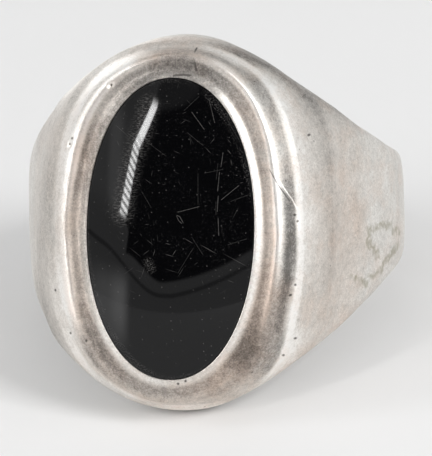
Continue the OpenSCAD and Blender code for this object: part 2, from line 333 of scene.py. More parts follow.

# %% [markdown]
# Wear is kept with the shape, as one number for each point: tarnish stays in the hollow and
# the high lines are rubbed bright, though not by the same amount all round. The same number
# also carries painted light and shade: bright lines are set where the lamps' highlights fall,
# and faces are made lighter or darker where the lighting alone left them too dark or too
# bright. It could be painted on the mesh by hand, but then a change to the shape would lose
# it. The table notes it at sixteen places round the stone, as one would on a condition sheet.

# %% Wear round the head
# angle round the stone from the right, then rim, hollow, its outer wall, roll, bevel, ridge,
# the silver just outside it, the field beyond and the shoulder: -1 is dark with tarnish, 0
# the grey film of daily wear, 1 rubbed bright, and each value also holds painted highlights
# and shade. Last, how far out the wall's and the ridge's painted highlights are moved: in
# places of the moulding, and in mm
RIM, DEEP, WALL, ROLL, BEVEL, RIDGE, APRON, FIELD, FAR, WALL_HIGHLIGHT_SHIFT, RIDGE_HIGHLIGHT_SHIFT = range(1, 12)
WEAR_AND_SHADE = np.array([
    [0, 0.9, 0.0, 1.0, 0.9, -0.9, 1.0, -0.6, -0.4, 0.35, 0.06, 0.05],
    [22, 0.9, -0.1, 0.7, 0.9, 0.0, 0.9, -1.0, -0.6, 0.3, 0.10, 0.10],
    [45, 0.8, -0.2, 1.0, 0.9, -0.3, 1.0, -0.3, -0.6, -0.3, 0.12, 0.18],
    [67, -0.2, -0.6, 0.4, 1.0, -0.1, 1.0, -1.0, -0.9, -0.3, 0.03, -0.20],
    [90, -0.4, -0.8, -0.3, -0.1, -0.1, 0.3, 0.3, 0.0, 0.6, 0.05, 0.0],
    [112, -0.8, -0.3, 0.6, 1.0, 1.0, 0.2, 0.9, 1.0, 0.6, 0.0, 0.0],
    [135, -0.5, 0.0, 1.0, 0.3, 1.0, 0.1, 0.9, 1.0, 0.6, -0.08, 0.0],
    [157, -0.6, -0.6, 1.0, 1.0, 0.9, 0.1, 0.2, 0.2, 0.3, -0.14, 0.0],
    [180, -0.2, 0.1, 0.7, 0.9, 0.5, 0.0, -0.1, 0.0, 0.4, 0.05, 0.0],
    [202, 0.1, -0.2, 0.8, 1.0, 0.9, 0.6, -0.8, -0.6, 0.1, 0.06, 0.0],
    [225, 0.5, -0.7, -0.3, -0.6, 0.3, 1.0, -1.0, -0.6, 0.2, 0.0, -0.05],
    [250, 0.6, -0.35, -0.1, 0.3, 1.0, 0.5, 0.1, -0.3, 0.7, 0.0, 0.0],
    [270, 0.5, -0.3, 0.0, 0.1, 0.3, 0.8, 0.9, 1.0, 1.0, 0.0, 0.0],
    [292, 0.4, -0.2, 0.1, -0.1, 0.2, 0.2, 0.5, 0.6, 0.7, 0.0, 0.0],
    [315, 0.7, -0.75, -0.8, -0.5, -0.3, 0.9, 1.0, 0.8, 0.4, 0.0, 0.22],
    [337, 0.8, -0.3, 0.3, -0.3, -0.7, 1.0, 0.0, 0.4, 0.4, 0.0, -0.15],
    [360, 0.9, 0.0, 1.0, 0.9, -0.9, 1.0, -0.6, -0.4, 0.35, 0.06, 0.05],
])
SEAT_WEAR, HOLE_WEAR, SHANK_WEAR = -0.9, 0.35, 0.45
# where each band of wear and painted shading begins and ends: places on the moulding, and mm beyond the
# ridge
BANDS = [(-0.10, RIM), (0.30, DEEP), (0.56, DEEP), (0.80, WALL), (1.08, ROLL), (1.45, BEVEL),
         (1.62, BEVEL), (1.93, RIDGE)]
BEYOND = [0.0, 0.12, 0.45, 2.0]
# places where the shift of a painted highlight fades in or out, and over how long a stretch
WALL_IN, WALL_OUT, BEVEL_IN = (0.3, 0.2), (1.08, 0.2), (1.3, 0.3)


def eased(x, knots, values):
    """Values at the knots, joined by soft steps; x and each value may be an array."""
    out = values[0] + 0 * x
    for k in range(len(knots) - 1):
        out = out + (values[k + 1] - values[k]) * ease((x - knots[k]) / (knots[k + 1] - knots[k]))
    return out


def round_head(table, col):
    """A column of a table, once round the head."""
    return eased(STATIONS[:, 0] % 360, table[:, 0], table[:, col])


def banded(table, bands, place):
    """The table's value on every station at a place of the moulding."""
    return eased(place, [at for at, col in bands], [round_head(table, col) for at, col in bands])


def painted_highlight_shift(place):
    """How far out the painted highlights of the wall and of the ridge are moved, at a place."""
    on_wall = ease((place - WALL_IN[0]) / WALL_IN[1]) * ease((WALL_OUT[0] - place) / WALL_OUT[1])
    on_bevel = ease((place - BEVEL_IN[0]) / BEVEL_IN[1])
    return round_head(WEAR_AND_SHADE, WALL_HIGHLIGHT_SHIFT) * on_wall + round_head(WEAR_AND_SHADE, RIDGE_HIGHLIGHT_SHIFT) * on_bevel


print("wear noted at", len(WEAR_AND_SHADE) - 1, "places round the stone")

# %% [markdown]
# Old silver isn't only darker where it isn't rubbed: its film turns brown, most of all in
# the hollow at the stone's lower right. The wear could stand for this too, but it doesn't
# follow it closely, so a second table of the same kind holds how brown the film is.

# %% The brown film
# how brown the film is, at the same angles: rim, hollow, roll, bevel, ridge and the field
FILM_RIM, FILM_HOLLOW, FILM_ROLL, FILM_BEVEL, FILM_RIDGE, FILM_FIELD = range(1, 7)
FILM = np.array([
    [0, 0.1, 0.9, 0.0, 0.0, 0.1, 0.5],
    [22, 0.1, 0.5, 0.0, 0.0, 0.1, 0.2],
    [45, 0.1, 0.7, 0.0, 0.0, 0.0, 0.1],
    [67, 0.1, 0.3, 0.4, 0.1, 0.1, 0.1],
    [90, 0.2, 0.5, 0.9, 0.8, 0.3, 0.1],
    [112, 0.2, 0.4, 0.0, 0.0, 0.0, 0.0],
    [135, 0.3, 0.5, 0.1, 0.2, 0.1, 0.0],
    [157, 0.7, 1.0, 0.1, 0.3, 0.3, 0.2],
    [180, 0.3, 0.9, 0.4, 0.3, 0.2, 0.2],
    [202, 0.2, 0.9, 0.6, 0.1, 0.2, 0.2],
    [225, 0.1, 0.8, 0.6, 0.4, 0.2, 0.1],
    [250, 0.2, 0.6, 0.7, 0.3, 0.1, 0.1],
    [270, 0.2, 0.6, 0.7, 0.6, 0.5, 0.5],
    [292, 0.2, 1.1, 0.8, 0.6, 0.3, 0.3],
    [315, 0.3, 1.2, 1.0, 0.5, 0.1, 0.3],
    [337, 0.2, 1.4, 0.8, 0.6, 0.1, 0.4],
    [360, 0.1, 0.9, 0.0, 0.0, 0.1, 0.5],
])
FILM_BANDS = [(-0.1, FILM_RIM), (0.3, FILM_HOLLOW), (0.74, FILM_HOLLOW), (1.1, FILM_ROLL),
              (1.5, FILM_BEVEL), (2.0, FILM_RIDGE)]
print("brownest film:", FILM[:, 1:].max(), "at", FILM[FILM[:, FILM_HOLLOW].argmax(), 0], "degrees")

# %% [markdown]
# The head's grid is now laid ring by ring: the walls of the stone's seat, the moulding, and
# the field from the ridge out to where the shank begins. Wear could be worked out later from
# the finished mesh, but here each ring carries its points, its wear with the painted light
# and shade in it, and its brown, so that they can't come apart.

# %% Rings of the head
# shares of the seat's wall, mm by which its mouth is softened, and steps over the field
SEAT_STEPS, MOUTH_SOFT, FIELD_STEPS = (0.0, 0.5, 0.9), 0.03, 70
# shares of the way to the shank where the wear passes to the far field's and the shank's,
# and where the film ends; and the mm beyond the ridge over which it becomes the field's
FAR_FROM, FAR_OVER, SHANK_FROM, SHANK_OVER, FILM_END = 0.16, 0.32, 0.85, 0.15, 0.3
FILM_BEYOND = [0, 2]


def field_rows(ridge):
    """The skin from the ridge out to the hand-over: points, wear with painted shading, and brown of each
    ring.
    """
    highlight_shift = round_head(WEAR_AND_SHADE, RIDGE_HIGHLIGHT_SHIFT)
    angle0 = np.degrees(np.arctan2(ridge[:, 0], -ridge[:, 1]))
    v0 = (ridge[:, 2] - lie(angle0)) / half_width(angle0)
    rows = []
    for t in np.linspace(0, 1, FIELD_STEPS + 1)[1:]:
        angle = angle0 + (STATIONS[:, 1] - angle0) * t
        v = STATIONS[:, 2] - (STATIONS[:, 2] - v0) * (1 - t) ** 2
        q = skin_point(angle, v)
        beyond = np.linalg.norm(q - ridge, axis=1)
        near = eased(beyond - highlight_shift, BEYOND, [round_head(WEAR_AND_SHADE, c) for c in (RIDGE, RIDGE, APRON, FIELD)])
        near = near + (round_head(WEAR_AND_SHADE, FAR) - near) * ease((t - FAR_FROM) / FAR_OVER)
        near = near + (SHANK_WEAR - near) * ease((t - SHANK_FROM) / SHANK_OVER)
        brown = eased(beyond, FILM_BEYOND, [round_head(FILM, c) for c in (FILM_RIDGE, FILM_FIELD)])
        rows.append((q, near, brown * ease((1 - t) / FILM_END)))
    return rows


def head_rows():
    """Every closed ring from the stone's seat to the hand-over, and the ridge's number."""
    mouth = stone_edge(STONE_GAP)
    ridge = ridge_line()
    across = ridge - mouth
    across[:, 1] = 0
    rim = mouth + across * RIM_W / np.linalg.norm(across, axis=1)[:, None]
    floor = mouth.copy()
    floor[:, 1] = -(edge_height(STONE_L / 2) - STONE_D - STONE_GAP)
    none = np.zeros(RING_N)
    rows = [(floor + (mouth - floor) * t, none + SEAT_WEAR, none) for t in SEAT_STEPS]
    rows.append((mouth + np.array([0, MOUTH_SOFT, 0]), round_head(WEAR_AND_SHADE, RIM), none))
    for place, q in moulding_rows(rim, ridge):
        # the bands are moved so that the painted highlights fall where the lamps' highlights would
        rows.append((q, banded(WEAR_AND_SHADE, BANDS, place - painted_highlight_shift(place)), banded(FILM, FILM_BANDS, place)))
    return rows + field_rows(ridge), len(rows) - 1


head, ridge_at = head_rows()
print("rings of the head:", len(head), "with the ridge at", ridge_at)

# %% [markdown]
# Hands wear a ridge round. A bevel modifier would round it by one amount; here its corner is
# cut back and bent through a soft curve at every station, sharp on the right of the stone
# and blunt on the left, as on the real one.

# %% The worn ridge
# how far the ridge is worn round, in mm: inside and outside it, and both of them on the left
INNER_REACH, OUTER_REACH, LEFT_REACH = 0.42, 0.28, 0.62
# where the left begins and over how much, as cosines of the angle round the stone
LEFT_FROM, LEFT_OVER = 0.3, 0.8
# steps through the bend, the reach within which old rings make way for it, and how many rings
# away the slope on each side is read
BEND_STEPS, CLEAR, SLOPE_AT = 8, 1.1, 3
# where each band of wear and painted shading lies along the bend
BEND_BANDS = [(-0.2, BEVEL), (0.35, RIDGE), (0.75, RIDGE), (1.5, APRON)]


def unit(lines):
    """Each row of an array, at length 1."""
    return lines / np.linalg.norm(lines, axis=1)[:, None]


def round_ridge(rows, k):
    """The rings with ring k, the ridge, and those too near it replaced by a soft bend."""
    left = ease((LEFT_FROM - np.cos(np.radians(STATIONS[:, 0]))) / LEFT_OVER)
    inner, outer = ((reach + (LEFT_REACH - reach) * left)[:, None] for reach in (INNER_REACH, OUTER_REACH))
    corner, _, brown = rows[k]
    highlight_shift = round_head(WEAR_AND_SHADE, RIDGE_HIGHLIGHT_SHIFT) / (inner + outer)[:, 0]
    a = corner - unit(corner - rows[k - SLOPE_AT][0]) * inner
    b = corner + unit(rows[k + SLOPE_AT][0] - corner) * outer
    soft = []
    for t in np.linspace(0, 1, BEND_STEPS + 1):
        q = a * (1 - t) ** 2 + corner * 2 * t * (1 - t) + b * t * t
        soft.append((q, banded(WEAR_AND_SHADE, BEND_BANDS, t - highlight_shift), brown))
    lo, hi = k, k + 1
    while (np.linalg.norm(rows[lo - 1][0] - corner, axis=1) < inner[:, 0] * CLEAR).any():
        lo -= 1
    while (np.linalg.norm(rows[hi][0] - corner, axis=1) < outer[:, 0] * CLEAR).any():
        hi += 1
    return rows[:lo] + soft + rows[hi:]


head = round_ridge(head, ridge_at)
print("rings with the ridge worn round:", len(head))

# %% [markdown]
# The head, the shank, the two side faces and the hole are sewn into one closed mesh. A
# boolean could cut the hole, but it would leave long thin faces that spoil the highlights,
# so the grid goes on round the edge, through a small worn round, into a true circle.

# %% Sewing the silver together
# rows across the hole, the share of the side face at which a row lies, and the angles round
# the worn edge of the hole
CROSS_STEPS, SIDE_STEP = 14, 0.4
HOLE_ROUND = np.radians(np.linspace(0, 90, 6))


def shank_rows():
    """The band behind the head, a row of points at each angle."""
    across = np.sin(np.pi / 2 * np.linspace(-1, 1, ACROSS + 1))
    angles = [HANDOVER + (360 - 2 * HANDOVER) * j / SHANK_STEPS for j in range(1, SHANK_STEPS)]
    return np.array([skin_point(np.full(ACROSS + 1, angle), across) for angle in angles])


def hole_side(edge, side):
    """From one edge of the band down its side face and round into the hole."""
    out = np.hypot(edge[:, 0], edge[:, 1])
    steps = [(out + (FINGER_R + HOLE_BEVEL - out) * SIDE_STEP, 0.0)]
    steps += [(FINGER_R + HOLE_BEVEL * (1 - np.sin(a)), HOLE_BEVEL * (1 - np.cos(a))) for a in HOLE_ROUND]
    return [np.stack([edge[:, 0] * r / out, edge[:, 1] * r / out, edge[:, 2] - side * drop], 1)
            for r, drop in steps]


def build_silver(head):
    """Points, faces, wear with painted shading, and brown of the silver."""
    rings = np.array([row[0] for row in head])
    wear_and_shade = np.concatenate([[SEAT_WEAR]] + [row[1] for row in head])
    brown = np.concatenate([[0]] + [row[2] for row in head])
    n_rings = len(rings)
    seat_middle = [[0, rings[0][0][1], 0]]
    pts = head_twist(np.concatenate([seat_middle, rings.reshape(-1, 3), shank_rows().reshape(-1, 3)]))

    def head_at(r, i):
        return 1 + r * RING_N + i % RING_N

    def shank_at(j, i):
        if j == 0:
            return head_at(n_rings - 1, i)
        if j == SHANK_STEPS:
            return head_at(n_rings - 1, 2 * ACROSS + ALONG - i)
        return 1 + n_rings * RING_N + (j - 1) * (ACROSS + 1) + i

    # the two closed edges of the band, each along the head and on round the shank
    top = ([head_at(n_rings - 1, ACROSS + k) for k in range(ALONG + 1)]
           + [shank_at(SHANK_STEPS - k, ACROSS) for k in range(1, SHANK_STEPS)])
    bottom = ([head_at(n_rings - 1, RING_N - k) for k in range(ALONG + 1)]
              + [shank_at(SHANK_STEPS - k, 0) for k in range(1, SHANK_STEPS)])
    loop_n = len(top)
    faces = [(0, head_at(0, i), head_at(0, i + 1)) for i in range(RING_N)]
    faces += [(head_at(r, i), head_at(r + 1, i), head_at(r + 1, i + 1), head_at(r, i + 1))
              for r in range(n_rings - 1) for i in range(RING_N)]
    faces += [(shank_at(j, i), shank_at(j + 1, i), shank_at(j + 1, i + 1), shank_at(j, i + 1))
              for j in range(SHANK_STEPS) for i in range(ACROSS)]
    # rows from the side faces round into the hole, and across it
    upper, lower = hole_side(pts[top], 1), hole_side(pts[bottom], -1)
    cross = [upper[-1] + (lower[-1] - upper[-1]) * k / CROSS_STEPS for k in range(1, CROSS_STEPS)]
    loops = upper + cross + lower[::-1]
    starts = [len(pts) + n * loop_n for n in range(len(loops))]
    bands = [top] + [[start + k for k in range(loop_n)] for start in starts] + [bottom]
    for a, b in zip(bands[:-1], bands[1:]):
        faces += [(a[k], b[k], b[(k + 1) % loop_n], a[(k + 1) % loop_n]) for k in range(loop_n)]
    wear_and_shade = np.concatenate([wear_and_shade, np.full(len(pts) - len(wear_and_shade), SHANK_WEAR),
                           np.full(len(loops) * loop_n, HOLE_WEAR)])
    pts = np.concatenate([pts] + loops)
    return pts, faces, wear_and_shade, np.concatenate([brown, np.zeros(len(pts) - len(brown))])


def make_mesh(name, points, faces):
    """A smooth mesh at the ring's place; ring_place keeps each point's millimetres."""
    mesh = bpy.data.meshes.new(name)
    mesh.from_pydata(to_world(points).tolist(), [], faces)
    mesh.polygons.foreach_set("use_smooth", [True] * len(mesh.polygons))
    mesh.attributes.new("ring_place", "FLOAT_VECTOR", "POINT").data.foreach_set("vector", points.ravel())
    piece = bpy.data.objects.new(name, mesh)
    bpy.context.scene.collection.objects.link(piece)
    return piece


points, faces, wear_and_shade, brown = build_silver(head)
print("silver:", len(points), "points,", len(faces), "faces")

# %% [markdown]
# The ring was filed, hammered and worn by hand, so its faces are not quite true. A Displace
# modifier could do this, but it would move the rim beside the stone and the hole as well,
# and those keep their exact shape. Each other point moves a little along its normal, by a
# slow noise, and knocks press small pits into the metal.

# %% Hand finish and knocks
# waves to a millimetre and height in mm
WAVES = [(0.33, 0.035), (1.1, 0.010)]
# mm over which the waves grow out from the hole; how far beyond the stone's edge its seat is
# kept, as a share of its size, how the waves grow from there, and from how far above the hole
HOLE_FADE, SEAT_KEPT, SEAT_FADE, SEAT_ABOVE = 0.6, 1.08, 0.12, 2
# x, y, z in mm on the ring, radius and depth of each knock
KNOCKS = np.array([
    [-3.41, -14.17, 8.55, 0.32, 0.15],
    [-6.04, -14.09, 5.10, 0.32, 0.14],
    [-5.86, -14.15, 5.45, 0.18, 0.06],
    [-5.38, -14.24, -6.60, 0.16, 0.05],
    [0.60, -14.21, -9.01, 0.18, 0.05],
    [0.14, -14.20, -9.17, 0.14, 0.04],
    [7.42, -13.46, 0.33, 0.30, 0.15],
    [7.30, -13.60, 0.72, 0.20, 0.10],
    [7.16, -13.33, -3.45, 0.32, 0.15],
    [6.90, -13.50, -4.03, 0.26, 0.12],
    [7.94, -11.95, 5.30, 0.14, 0.04],
    [6.87, -12.05, -6.73, 0.16, 0.05],
    [6.15, -12.17, -7.72, 0.18, 0.05],
    [-7.32, -13.33, -3.63, 0.14, 0.04],
    [-6.46, -13.45, -6.20, 0.14, 0.05],
])


def oval_share(x, z):
    """1 on the stone's edge, less inside it and more outside."""
    x, z = turned(x, z, -HEAD_TURN)
    share = np.abs(2 * x / STONE_W) ** STONE_SQUARE + np.abs(2 * z / STONE_L) ** STONE_SQUARE
    return share ** (1 / STONE_SQUARE)


def finish_by_hand(points, faces):
    """The points moved along their normals by slow noise and by the knocks."""
    mesh = bpy.data.meshes.new("blank")
    mesh.from_pydata(points.tolist(), [], faces)
    normals = np.empty(3 * len(points))
    mesh.vertices.foreach_get("normal", normals)
    bpy.data.meshes.remove(mesh)
    height = np.zeros(len(points))
    for scale, size in WAVES:
        height += [size * noise.noise(Vector(p) * scale) for p in points]
    from_axis = np.hypot(points[:, 0], points[:, 1])
    height *= ease((from_axis - FINGER_R - HOLE_BEVEL) / HOLE_FADE)
    beside = ease((oval_share(points[:, 0], points[:, 2]) - SEAT_KEPT) / SEAT_FADE)
    height *= np.where(points[:, 1] < -FINGER_R - SEAT_ABOVE, beside, 1)
    for x, y, z, radius, depth in KNOCKS:
        away = np.linalg.norm(points - (x, y, z), axis=1)
        height -= depth * ease(1 - away / radius)
    print("moved by hand:", round(height.min(), 3), "to", round(height.max(), 3), "mm")
    return points + normals.reshape(-1, 3) * height[:, None]


points = finish_by_hand(points, faces)
silver_ring = make_mesh("silver_ring", points, faces)
for name, values in (("wear_and_shade", wear_and_shade), ("brown", brown)):
    silver_ring.data.attributes.new(name, "FLOAT", "POINT").data.foreach_set("value", values)

# %% [markdown]
# The stone is an oval of onyx, cut flat below and domed on top, with a fine lip where the
# polish ends. A scaled sphere would be too steep at the edge, so the dome is a formula, laid
# on the same stations as the silver, which keeps the gap between them even.

# %% The stone
# steps from the middle to the edge, where the lip begins, and how far it drops, in mm
DOME_STEPS, LIP, LIP_DROP = 40, 0.997, 0.02


def dome_height(x, z):
    """Height of the stone's top over the middle of the hole."""
    return (edge_height(0) + DOME_H * (1 - (2 * x / STONE_W) ** 2 - (2 * z / STONE_L) ** 2)
            - STONE_DIP * (2 * z / STONE_L) ** 2)


def build_stone():
    """Points and faces of the stone: dome, lip, wall and flat foot."""
    edge = stone_edge()
    foot_y = -(edge_height(STONE_L / 2) - STONE_D)
    rings = []
    for share in list(np.sin(np.linspace(0, np.pi / 2, DOME_STEPS + 1))[1:-1]) + [LIP]:
        q = edge * share
        q[:, 1] = -dome_height(q[:, 0], q[:, 2])
        rings.append(q)
    for y in (-dome_height(edge[:, 0], edge[:, 2]) + LIP_DROP, foot_y):
        q = edge.copy()
        q[:, 1] = y
        rings.append(q)
    last = len(rings) - 1
    pts = np.concatenate([[[0, -dome_height(0, 0), 0]], np.array(rings).reshape(-1, 3), [[0, foot_y, 0]]])

    def at(r, i):
        return 1 + r * RING_N + i % RING_N

    faces = [(0, at(0, i), at(0, i + 1)) for i in range(RING_N)]
    faces += [(at(r, i), at(r + 1, i), at(r + 1, i + 1), at(r, i + 1))
              for r in range(last) for i in range(RING_N)]
    faces += [(len(pts) - 1, at(last, i + 1), at(last, i)) for i in range(RING_N)]
    return head_twist(pts), faces


points, faces = build_stone()
onyx_stone = make_mesh("onyx_stone", points, faces)
print("stone:", len(points), "points,", len(faces), "faces")

# %% [markdown]
# A material in Blender is a small network of nodes. It could be put together by hand in the
# shader editor, but a script keeps every number in sight. A few helpers do the work: one
# turns the hex colours that a maker reads off into the linear ones that a shader takes, one
# adds a node with its settings and its links, one starts a node group, which is a network
# with a name that can be used again, and two lay masks over each other.

# %% Helpers for materials
def hex_colour(text):
    """An sRGB hex colour as the linear colour that a shader takes."""
    rgb = [int(text[i:i + 2], 16) / 255 for i in (0, 2, 4)]
    return [c / 12.92 if c <= 0.04045 else ((c + 0.055) / 1.055) ** 2.4 for c in rgb] + [1.0]


def add_node(tree, kind, inputs=None, **settings):
    """A node with its settings; its inputs are values or the sockets of other nodes."""
    node = tree.nodes.new("ShaderNode" + kind)
    for name, value in settings.items():
        setattr(node, name, value)
    for key, value in (inputs or {}).items():
        if isinstance(value, bpy.types.NodeSocket):
            tree.links.new(value, node.inputs[key])
        else:
            node.inputs[key].default_value = value
    return node


def new_material(name):
    """A new material, its nodes and its shader."""
    mat = bpy.data.materials.new(name)
    mat.use_nodes = True
    return mat, mat.node_tree, mat.node_tree.nodes["Principled BSDF"]


def new_group(name, numbers, vectors):
    """An empty node group with named inputs and one output, and its two end nodes."""
    group = bpy.data.node_groups.new(name, "ShaderNodeTree")
    for inputs, kind in ((vectors, "NodeSocketVector"), (numbers, "NodeSocketFloat")):
        for label in inputs:
            group.interface.new_socket(label, in_out="INPUT", socket_type=kind)
    group.interface.new_socket("Mask", in_out="OUTPUT", socket_type="NodeSocketFloat")
    given = group.nodes.new("NodeGroupInput").outputs
    result = group.nodes.new("NodeGroupOutput").inputs["Mask"]
    return group, given, result


def strongest(tree, masks):
    """The strongest of several masks."""
    top = masks[0]
    for mask in masks[1:]:
        top = add_node(tree, "Math", {0: top, 1: mask}, operation="MAXIMUM").outputs[0]
    return top


def overlap(tree, masks):
    """Several masks laid over each other: each one weakens the others where it is weak."""
    share = masks[0]
    for mask in masks[1:]:
        share = add_node(tree, "Math", {0: share, 1: mask}, operation="MULTIPLY").outputs[0]
    return share


print("a mid grey, 808080, is", round(hex_colour("808080")[0], 3), "in linear light")

# %% [markdown]
# Two kinds of scratch are needed. The ones that can be told apart are lines between two
# points on the ring, and a group measures how far a place lies from such a line. They could
# be painted as an image, but lines stay sharp at any size and need no file.

# %% Lines drawn on a surface
line_group, given, result = new_group("scratch between two points", ["Width"], ["Place", "From", "To"])
here, start = given["Place"], given["From"]
run = add_node(line_group, "VectorMath", {0: given["To"], 1: start}, operation="SUBTRACT").outputs[0]
reach = add_node(line_group, "VectorMath", {0: here, 1: start}, operation="SUBTRACT").outputs[0]
dot = add_node(line_group, "VectorMath", {0: reach, 1: run}, operation="DOT_PRODUCT").outputs["Value"]
square = add_node(line_group, "VectorMath", {0: run, 1: run}, operation="DOT_PRODUCT").outputs["Value"]
share = add_node(line_group, "Math", {0: dot, 1: square}, operation="DIVIDE", use_clamp=True).outputs[0]
foot = add_node(line_group, "VectorMath", {0: run, "Scale": share}, operation="SCALE").outputs[0]
away = add_node(line_group, "VectorMath", {0: reach, 1: foot}, operation="DISTANCE").outputs["Value"]
mask = add_node(line_group, "MapRange", {"Value": away, "From Min": given["Width"], "From Max": 0.0},
                interpolation_type="SMOOTHSTEP")
line_group.links.new(mask.outputs["Result"], result)


def drawn_lines(tree, place, flat, lines, width):
    """One mask for lines drawn through the points of each row, on the ring flattened along
    one axis, with their half width in mm."""
    masks = []
    for line in lines:
        for start, end in zip(line[:-1], line[1:]):
            ends = {"From": (np.array(start) * flat).tolist(), "To": (np.array(end) * flat).tolist()}
            mark = add_node(tree, "Group", {"Place": place, "Width": width, **ends}, node_tree=line_group)
            masks.append(mark.outputs["Mask"])
    return strongest(tree, masks)


print("line group:", len(line_group.nodes), "nodes")

# %% [markdown]
# The countless fine scratches are strewn instead: each cell of a Voronoi pattern holds one
# short line with its own angle and length, and the pattern's own colours serve as its dice,
# so that the same ones come back on each run. Wear cuts scratches finer than the picture can
# show, so these are drawn as wide as they need to be seen, a few hundredths of a millimetre.

# %% Strewn scratches
# a half turn in radians, and how soon a line reaches its full strength from its end
HALF_TURN, END_FADE = 3.1416, 1.6
STREWN_INPUTS = ["Cells", "Length", "Width", "Share"]
group, given, result = new_group("strewn scratches", STREWN_INPUTS, ["Place"])
cells = add_node(group, "TexVoronoi", {"Vector": given["Place"], "Scale": given["Cells"]},
                 voronoi_dimensions="2D").outputs
luck = add_node(group, "SeparateXYZ", {"Vector": cells["Color"]}).outputs
off = add_node(group, "VectorMath", {0: given["Place"], 1: cells["Position"]},
               operation="SUBTRACT").outputs[0]
angle = add_node(group, "Math", {0: luck["X"], 1: HALF_TURN}, operation="MULTIPLY").outputs[0]
spun = add_node(group, "VectorRotate", {"Vector": off, "Angle": angle}, rotation_type="Z_AXIS").outputs[0]
local = add_node(group, "SeparateXYZ", {"Vector": spun}).outputs
aside = add_node(group, "Math", {0: local["Y"]}, operation="ABSOLUTE").outputs[0]
ahead = add_node(group, "Math", {0: local["X"]}, operation="ABSOLUTE").outputs[0]
# most are short: the length goes by the square of a cell's luck, and it fades to its ends
long = add_node(group, "Math", {0: luck["Y"], 1: 2.0}, operation="POWER").outputs[0]
half = add_node(group, "Math", {0: given["Length"], 1: long}, operation="MULTIPLY").outputs[0]
thin = add_node(group, "MapRange", {"Value": aside, "From Min": given["Width"], "From Max": 0.0}).outputs[0]
short = add_node(group, "MapRange", {"Value": ahead, "From Min": half, "From Max": 0.0,
                                     "To Max": END_FADE}).outputs[0]
kept = add_node(group, "MapRange", {"Value": luck["Z"], "From Min": given["Share"],
                                    "From Max": 0.0}).outputs[0]
mask = add_node(group, "Math", {0: thin, 1: short}, operation="MULTIPLY", use_clamp=True).outputs[0]
group.links.new(overlap(group, [mask, kept]), result)
strewn_group = group


def strewn_layer(tree, flat_place, sizes):
    """One layer of strewn scratches: cells to a mm, half length and half width in mm, and
    the share of the cells that hold one."""
    inputs = {"Place": flat_place, **dict(zip(STREWN_INPUTS, sizes))}
    return add_node(tree, "Group", inputs, node_tree=strewn_group).outputs["Mask"]


print("strewn group:", len(strewn_group.nodes), "nodes")

# %% [markdown]
# Worn sterling silver is one metal with three skins: rubbed bright on the high lines, a
# dull grey film on the broad faces, and brown tarnish in the hollow. Three materials could
# be mixed, but it is one metal, so the wear of each point, with the painted highlights and
# shade that it carries, roughened by noise, picks the colour from one ramp. To the eye it
# gives soft white lights, never a mirror.

# %% Worn sterling silver: its marks
# wear, with its painted shading, from -1 to 1 and the colour of the silver there
SILVER_RAMP = [(-1.0, "716F6C"), (-0.6, "94918D"), (-0.25, "B1AEAA"), (0.0, "C6C3BE"), (0.5, "E1DED9"),
               (1.0, "FBFAF7")]
# how much each axis counts where a line is drawn from the front and from the right
FACING_FRONT, FACING_RIGHT = np.array([1, 0.1, 1]), np.array([0.4, 1, 1])
# the points, in mm, that each mark passes through: the bright scratch across the ridge, an
# open seam and a dent above the stone, the painted shade beside the scratch, the pits that
# knocks left, and the stain on the right shoulder; the dent and the pits are darkened as
# painted shade
LONG_SCRATCH = [[(6.18, -14.39, 3.48), (6.69, -14.22, 2.52), (7.19, -13.78, 1.66), (7.56, -13.31, 0.73)]]
SEAM = [[(1.50, -12.73, 10.58), (1.62, -13.3, 10.0), (1.71, -13.94, 9.34)]]
SCRATCH_SHADE = [[(6.02, -14.39, 3.44), (6.55, -14.25, 2.44), (7.05, -13.88, 1.60)]]
DENT = [[(0.40, -14.2, 9.06), (0.95, -14.2, 9.1), (1.35, -14.2, 9.05)]]
PITS = [[tuple(k[:3]), tuple(k[:3] + 0.01)] for k in KNOCKS]
STAIN = [
    [(10.75, -4.70, -2.60), (10.59, -5.14, -2.12), (10.36, -5.87, -1.45), (10.44, -5.68, -0.84),
     (10.74, -4.77, -0.82), (11.02, -3.84, -0.71), (11.25, -2.97, -0.97), (11.53, -0.90, -1.39)],
    [(11.46, -1.37, -2.03), (11.33, -2.19, -2.50), (11.00, -3.61, -2.98), (10.70, -4.50, -3.51),
     (10.39, -5.30, -3.74)],
    [(9.61, -7.18, -3.50), (10.15, -5.76, -4.12)],
]
# half widths in mm
SEAM_HALF, PIT_HALF, DENT_HALF, SHADE_HALF, SCRATCH_HALF, STAIN_HALF = 0.08, 0.11, 0.09, 0.05, 0.06, 0.40
# patterns in the wear: scale to a mm, detail, roughness and by how much each swings the wear;
# clouds are some 2 mm wide, grain a third of a mm and dust a tenth
PATTERNS = {"clouds": (0.45, 5, 0.6, 0.8), "grain": (3.0, 6, 0.75, 1.3), "dust": (9.0, 3, 0.8, 1.5)}
# strewn layers: cells to a mm, half length, half width, share, and what each adds to the wear
STREWN_ON_SILVER = [(1.1, 0.8, 0.03, 0.5, 0.22), (1.7, 0.5, 0.03, 0.5, -0.28)]
# pores: cells to a mm, the share of them that hold one, and between which radii one ends
PORES_PER_MM, PORE_SHARE, PORE_OUT, PORE_IN = 1.6, 0.10, 0.12, 0.05

